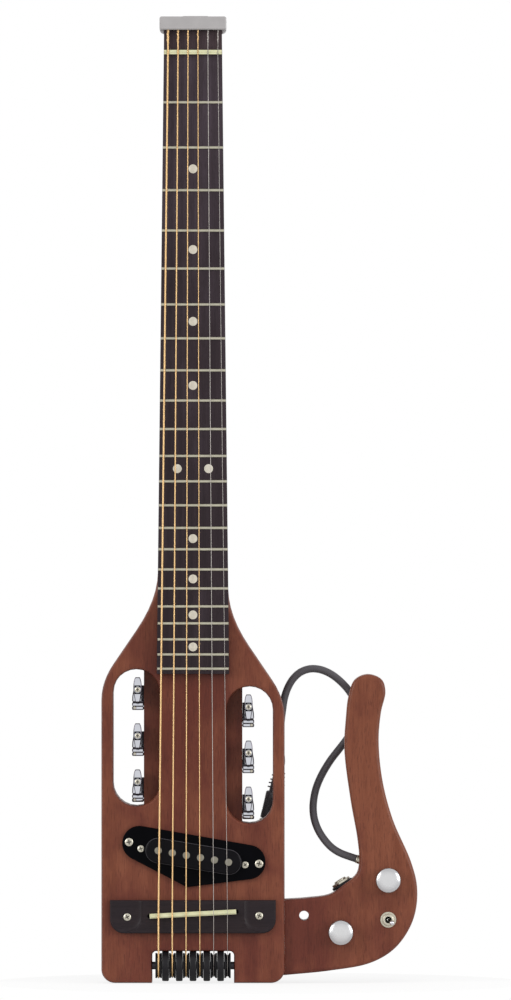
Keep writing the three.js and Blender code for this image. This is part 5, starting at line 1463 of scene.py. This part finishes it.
fitOut(switchBody, "lap_rest", switchNickel, "switch_body")
# a black cup down the bush paints the shade in the switch's hole
well = settle(turnedPiece("switchHoleShade", switchLook["well"], 40), switchPlace)
fitOut(well, "lap_rest", blackAndShade)
pivot = switchPlace + Vector((0, switchLook["pivotDepth"] * mm, 0))
lever = settle(turnedPiece("switchLever", switchLook["lever"], 28), pivot, switchLook["axis"])
deselectAll()
bpy.ops.mesh.primitive_uv_sphere_add(segments=24, ring_count=16, radius=switchLook["ballRadius"] * mm)
ball = bpy.context.object
ball.data.transform(Matrix.Translation(pivot))
cutWith(lever, ball, "UNION")
fitOut(lever, "switch_lever", brightChrome, "switch_lever", 40)

socketLook = {
    "barrel": [(3.2, -23.5), (3.2, 4.9), (3.45, 5.15), (4.4, 5.15), (4.7, 4.85), (4.7, -23.5)],
    "washer": [(4.75, 0.1), (4.75, 2), (7.9, 2), (8.3, 1.7), (8.3, 0.4), (8, 0.1)],
    "nut": [(7.1, 2.05), (7.4, 2.3), (7.4, 3.6), (6.9, 3.95)], "nutBore": [(4.75, 1), (4.75, 5)],
    "nutSpun": 0.25,
    "gland": [
        (2.85, -13), (2.85, 1.9), (2.95, 2), (3.15, 2), (3.25, 1.85), (3.25, 1.35), (3.0, 1.2), (3.0, 0.95),
        (3.25, 0.8), (3.25, -13),
    ],
    "bodyJack": [
        (3.2, -20), (3.2, 1.3), (3.35, 1.4), (7, 1.4), (7.2, 1.2), (7.2, 0.1), (5.4, 0.1), (5.4, -20),
    ],
}
barrel = settle(turnedPiece("outputJack", socketLook["barrel"], 48, ring=True), outputPlace, outputAxis)
hexNut = turnedPiece("hexNut", socketLook["nut"], 6)
cutWith(hexNut, turnedPiece("drill", socketLook["nutBore"], 48))
outputJack = joined([barrel, settle(hexNut, outputPlace, outputAxis, socketLook["nutSpun"])], "outputJack")
fitOut(outputJack, "lap_rest", nickel, "output_jack")
washer = settle(turnedPiece("outputWasher", socketLook["washer"], 48, ring=True), outputPlace, outputAxis)
fitOut(washer, "lap_rest", satinBlack)
gland = settle(turnedPiece("cordGland", socketLook["gland"], 40, ring=True), glandPlace, glandAxis)
fitOut(gland, "lap_rest", nickel, "cord_gland", 30)
bodyJack = settle(turnedPiece("bodyJack", socketLook["bodyJack"], 48, ring=True), plugFloor, plugAxis)
fitOut(bodyJack, "guitar", nickel, "body_jack", 30)

coverLook = {"gap": 0.3, "front": 6.6, "back": 8.6, "round": 0.3}
outline = cavityBand(lapRestLook["coverLip"] - coverLook["gap"], 96)
cover = placedSlab("controlCover", outline, coverLook["front"], coverLook["back"], coverLook["round"])
fitOut(cover, "lap_rest", satinBlack, "control_cover")
evenShade(cover)
placeScrews("coverScrews", "lap_rest", backward)

for node, name, finish in (
    ("volume_pot", "volumePot", darkSteelAndShade), ("tone_pot", "tonePot", darkSteelAndShade),
    ("lap_rest_pin_1", "lapRestPin1", nickel), ("lap_rest_pin_2", "lapRestPin2", nickel),
):
    fitOut(refined(node, name), "lap_rest", finish, node, 40)
print("lap rest fitted out")


# Floor, lamps and world

stageLook = {
    "floorRadius": 0.2, "floorDrop": 0.0005, "glow": 0.82, "worldLight": 0.5, "aim": (46, 0, 350),
    # name, place, size and power of each lamp, and whether bright metal shows it
    "lamps": [
        ("leftLamp", (-2.7, -1.9, 1.3), 1.7, 54, True),
        ("rightLamp", (2.9, -1.6, 1.0), 1.7, 62, True),
        ("topLamp", (0.2, -1.6, 2.7), 1.3, 22, False),
    ],
}
deselectAll()
bpy.ops.mesh.primitive_circle_add(vertices=96, radius=stageLook["floorRadius"], fill_type="NGON")
floor = bpy.context.object
floor.name = "floor"
floor.data.transform(Matrix.Translation((0, 0, -stageLook["floorDrop"])))
paint = Finish("floorPaint", Roughness=0.9, Specular_IOR_Level=0.1)
paint.feed(Base_Color=paint.mix(paint.grains(3, 3, 3), tint(248, 248, 248), tint(252, 252, 252)))
seen = paint.node("ShaderNodeLightPath", output="Is Camera Ray")
glow = paint.node("ShaderNodeEmission", inputs={"Color": (1, 1, 1, 1), "Strength": 1})
paint.surface(paint.node("ShaderNodeMixShader", inputs={
    0: seen * stageLook["glow"], 1: Wire(paint, paint.shader.outputs[0]), 2: glow,
}))
floor.data.materials.append(paint.material)

aim = at(*stageLook["aim"])
for name, place, size, power, inMetal in stageLook["lamps"]:
    deselectAll()
    bpy.ops.object.light_add(type="AREA", location=place)
    lamp = bpy.context.object
    lamp.name = name
    lamp.data.shape = "SQUARE"
    lamp.data.size = size
    lamp.data.energy = power
    lamp.visible_glossy = inMetal
    lamp.rotation_mode = "QUATERNION"
    lamp.rotation_quaternion = (aim - Vector(place)).to_track_quat("-Z", "Y")

world = bpy.data.worlds.new("studio")
bpy.context.scene.world = world
world.use_nodes = True
studio = NodeTree(world.node_tree)
soft, backdrop = [
    studio.node("ShaderNodeBackground", inputs={"Color": (1, 1, 1, 1), "Strength": strength})
    for strength in (stageLook["worldLight"], 1)
]
seen = studio.node("ShaderNodeLightPath", output="Is Camera Ray")
for kind in ("Is Glossy Ray", "Is Transmission Ray"):
    seen = seen.calc("MAXIMUM", seen, studio.node("ShaderNodeLightPath", output=kind))
studio.surface(studio.node("ShaderNodeMixShader", inputs={0: seen, 1: soft, 2: backdrop}))
print("stage lit")
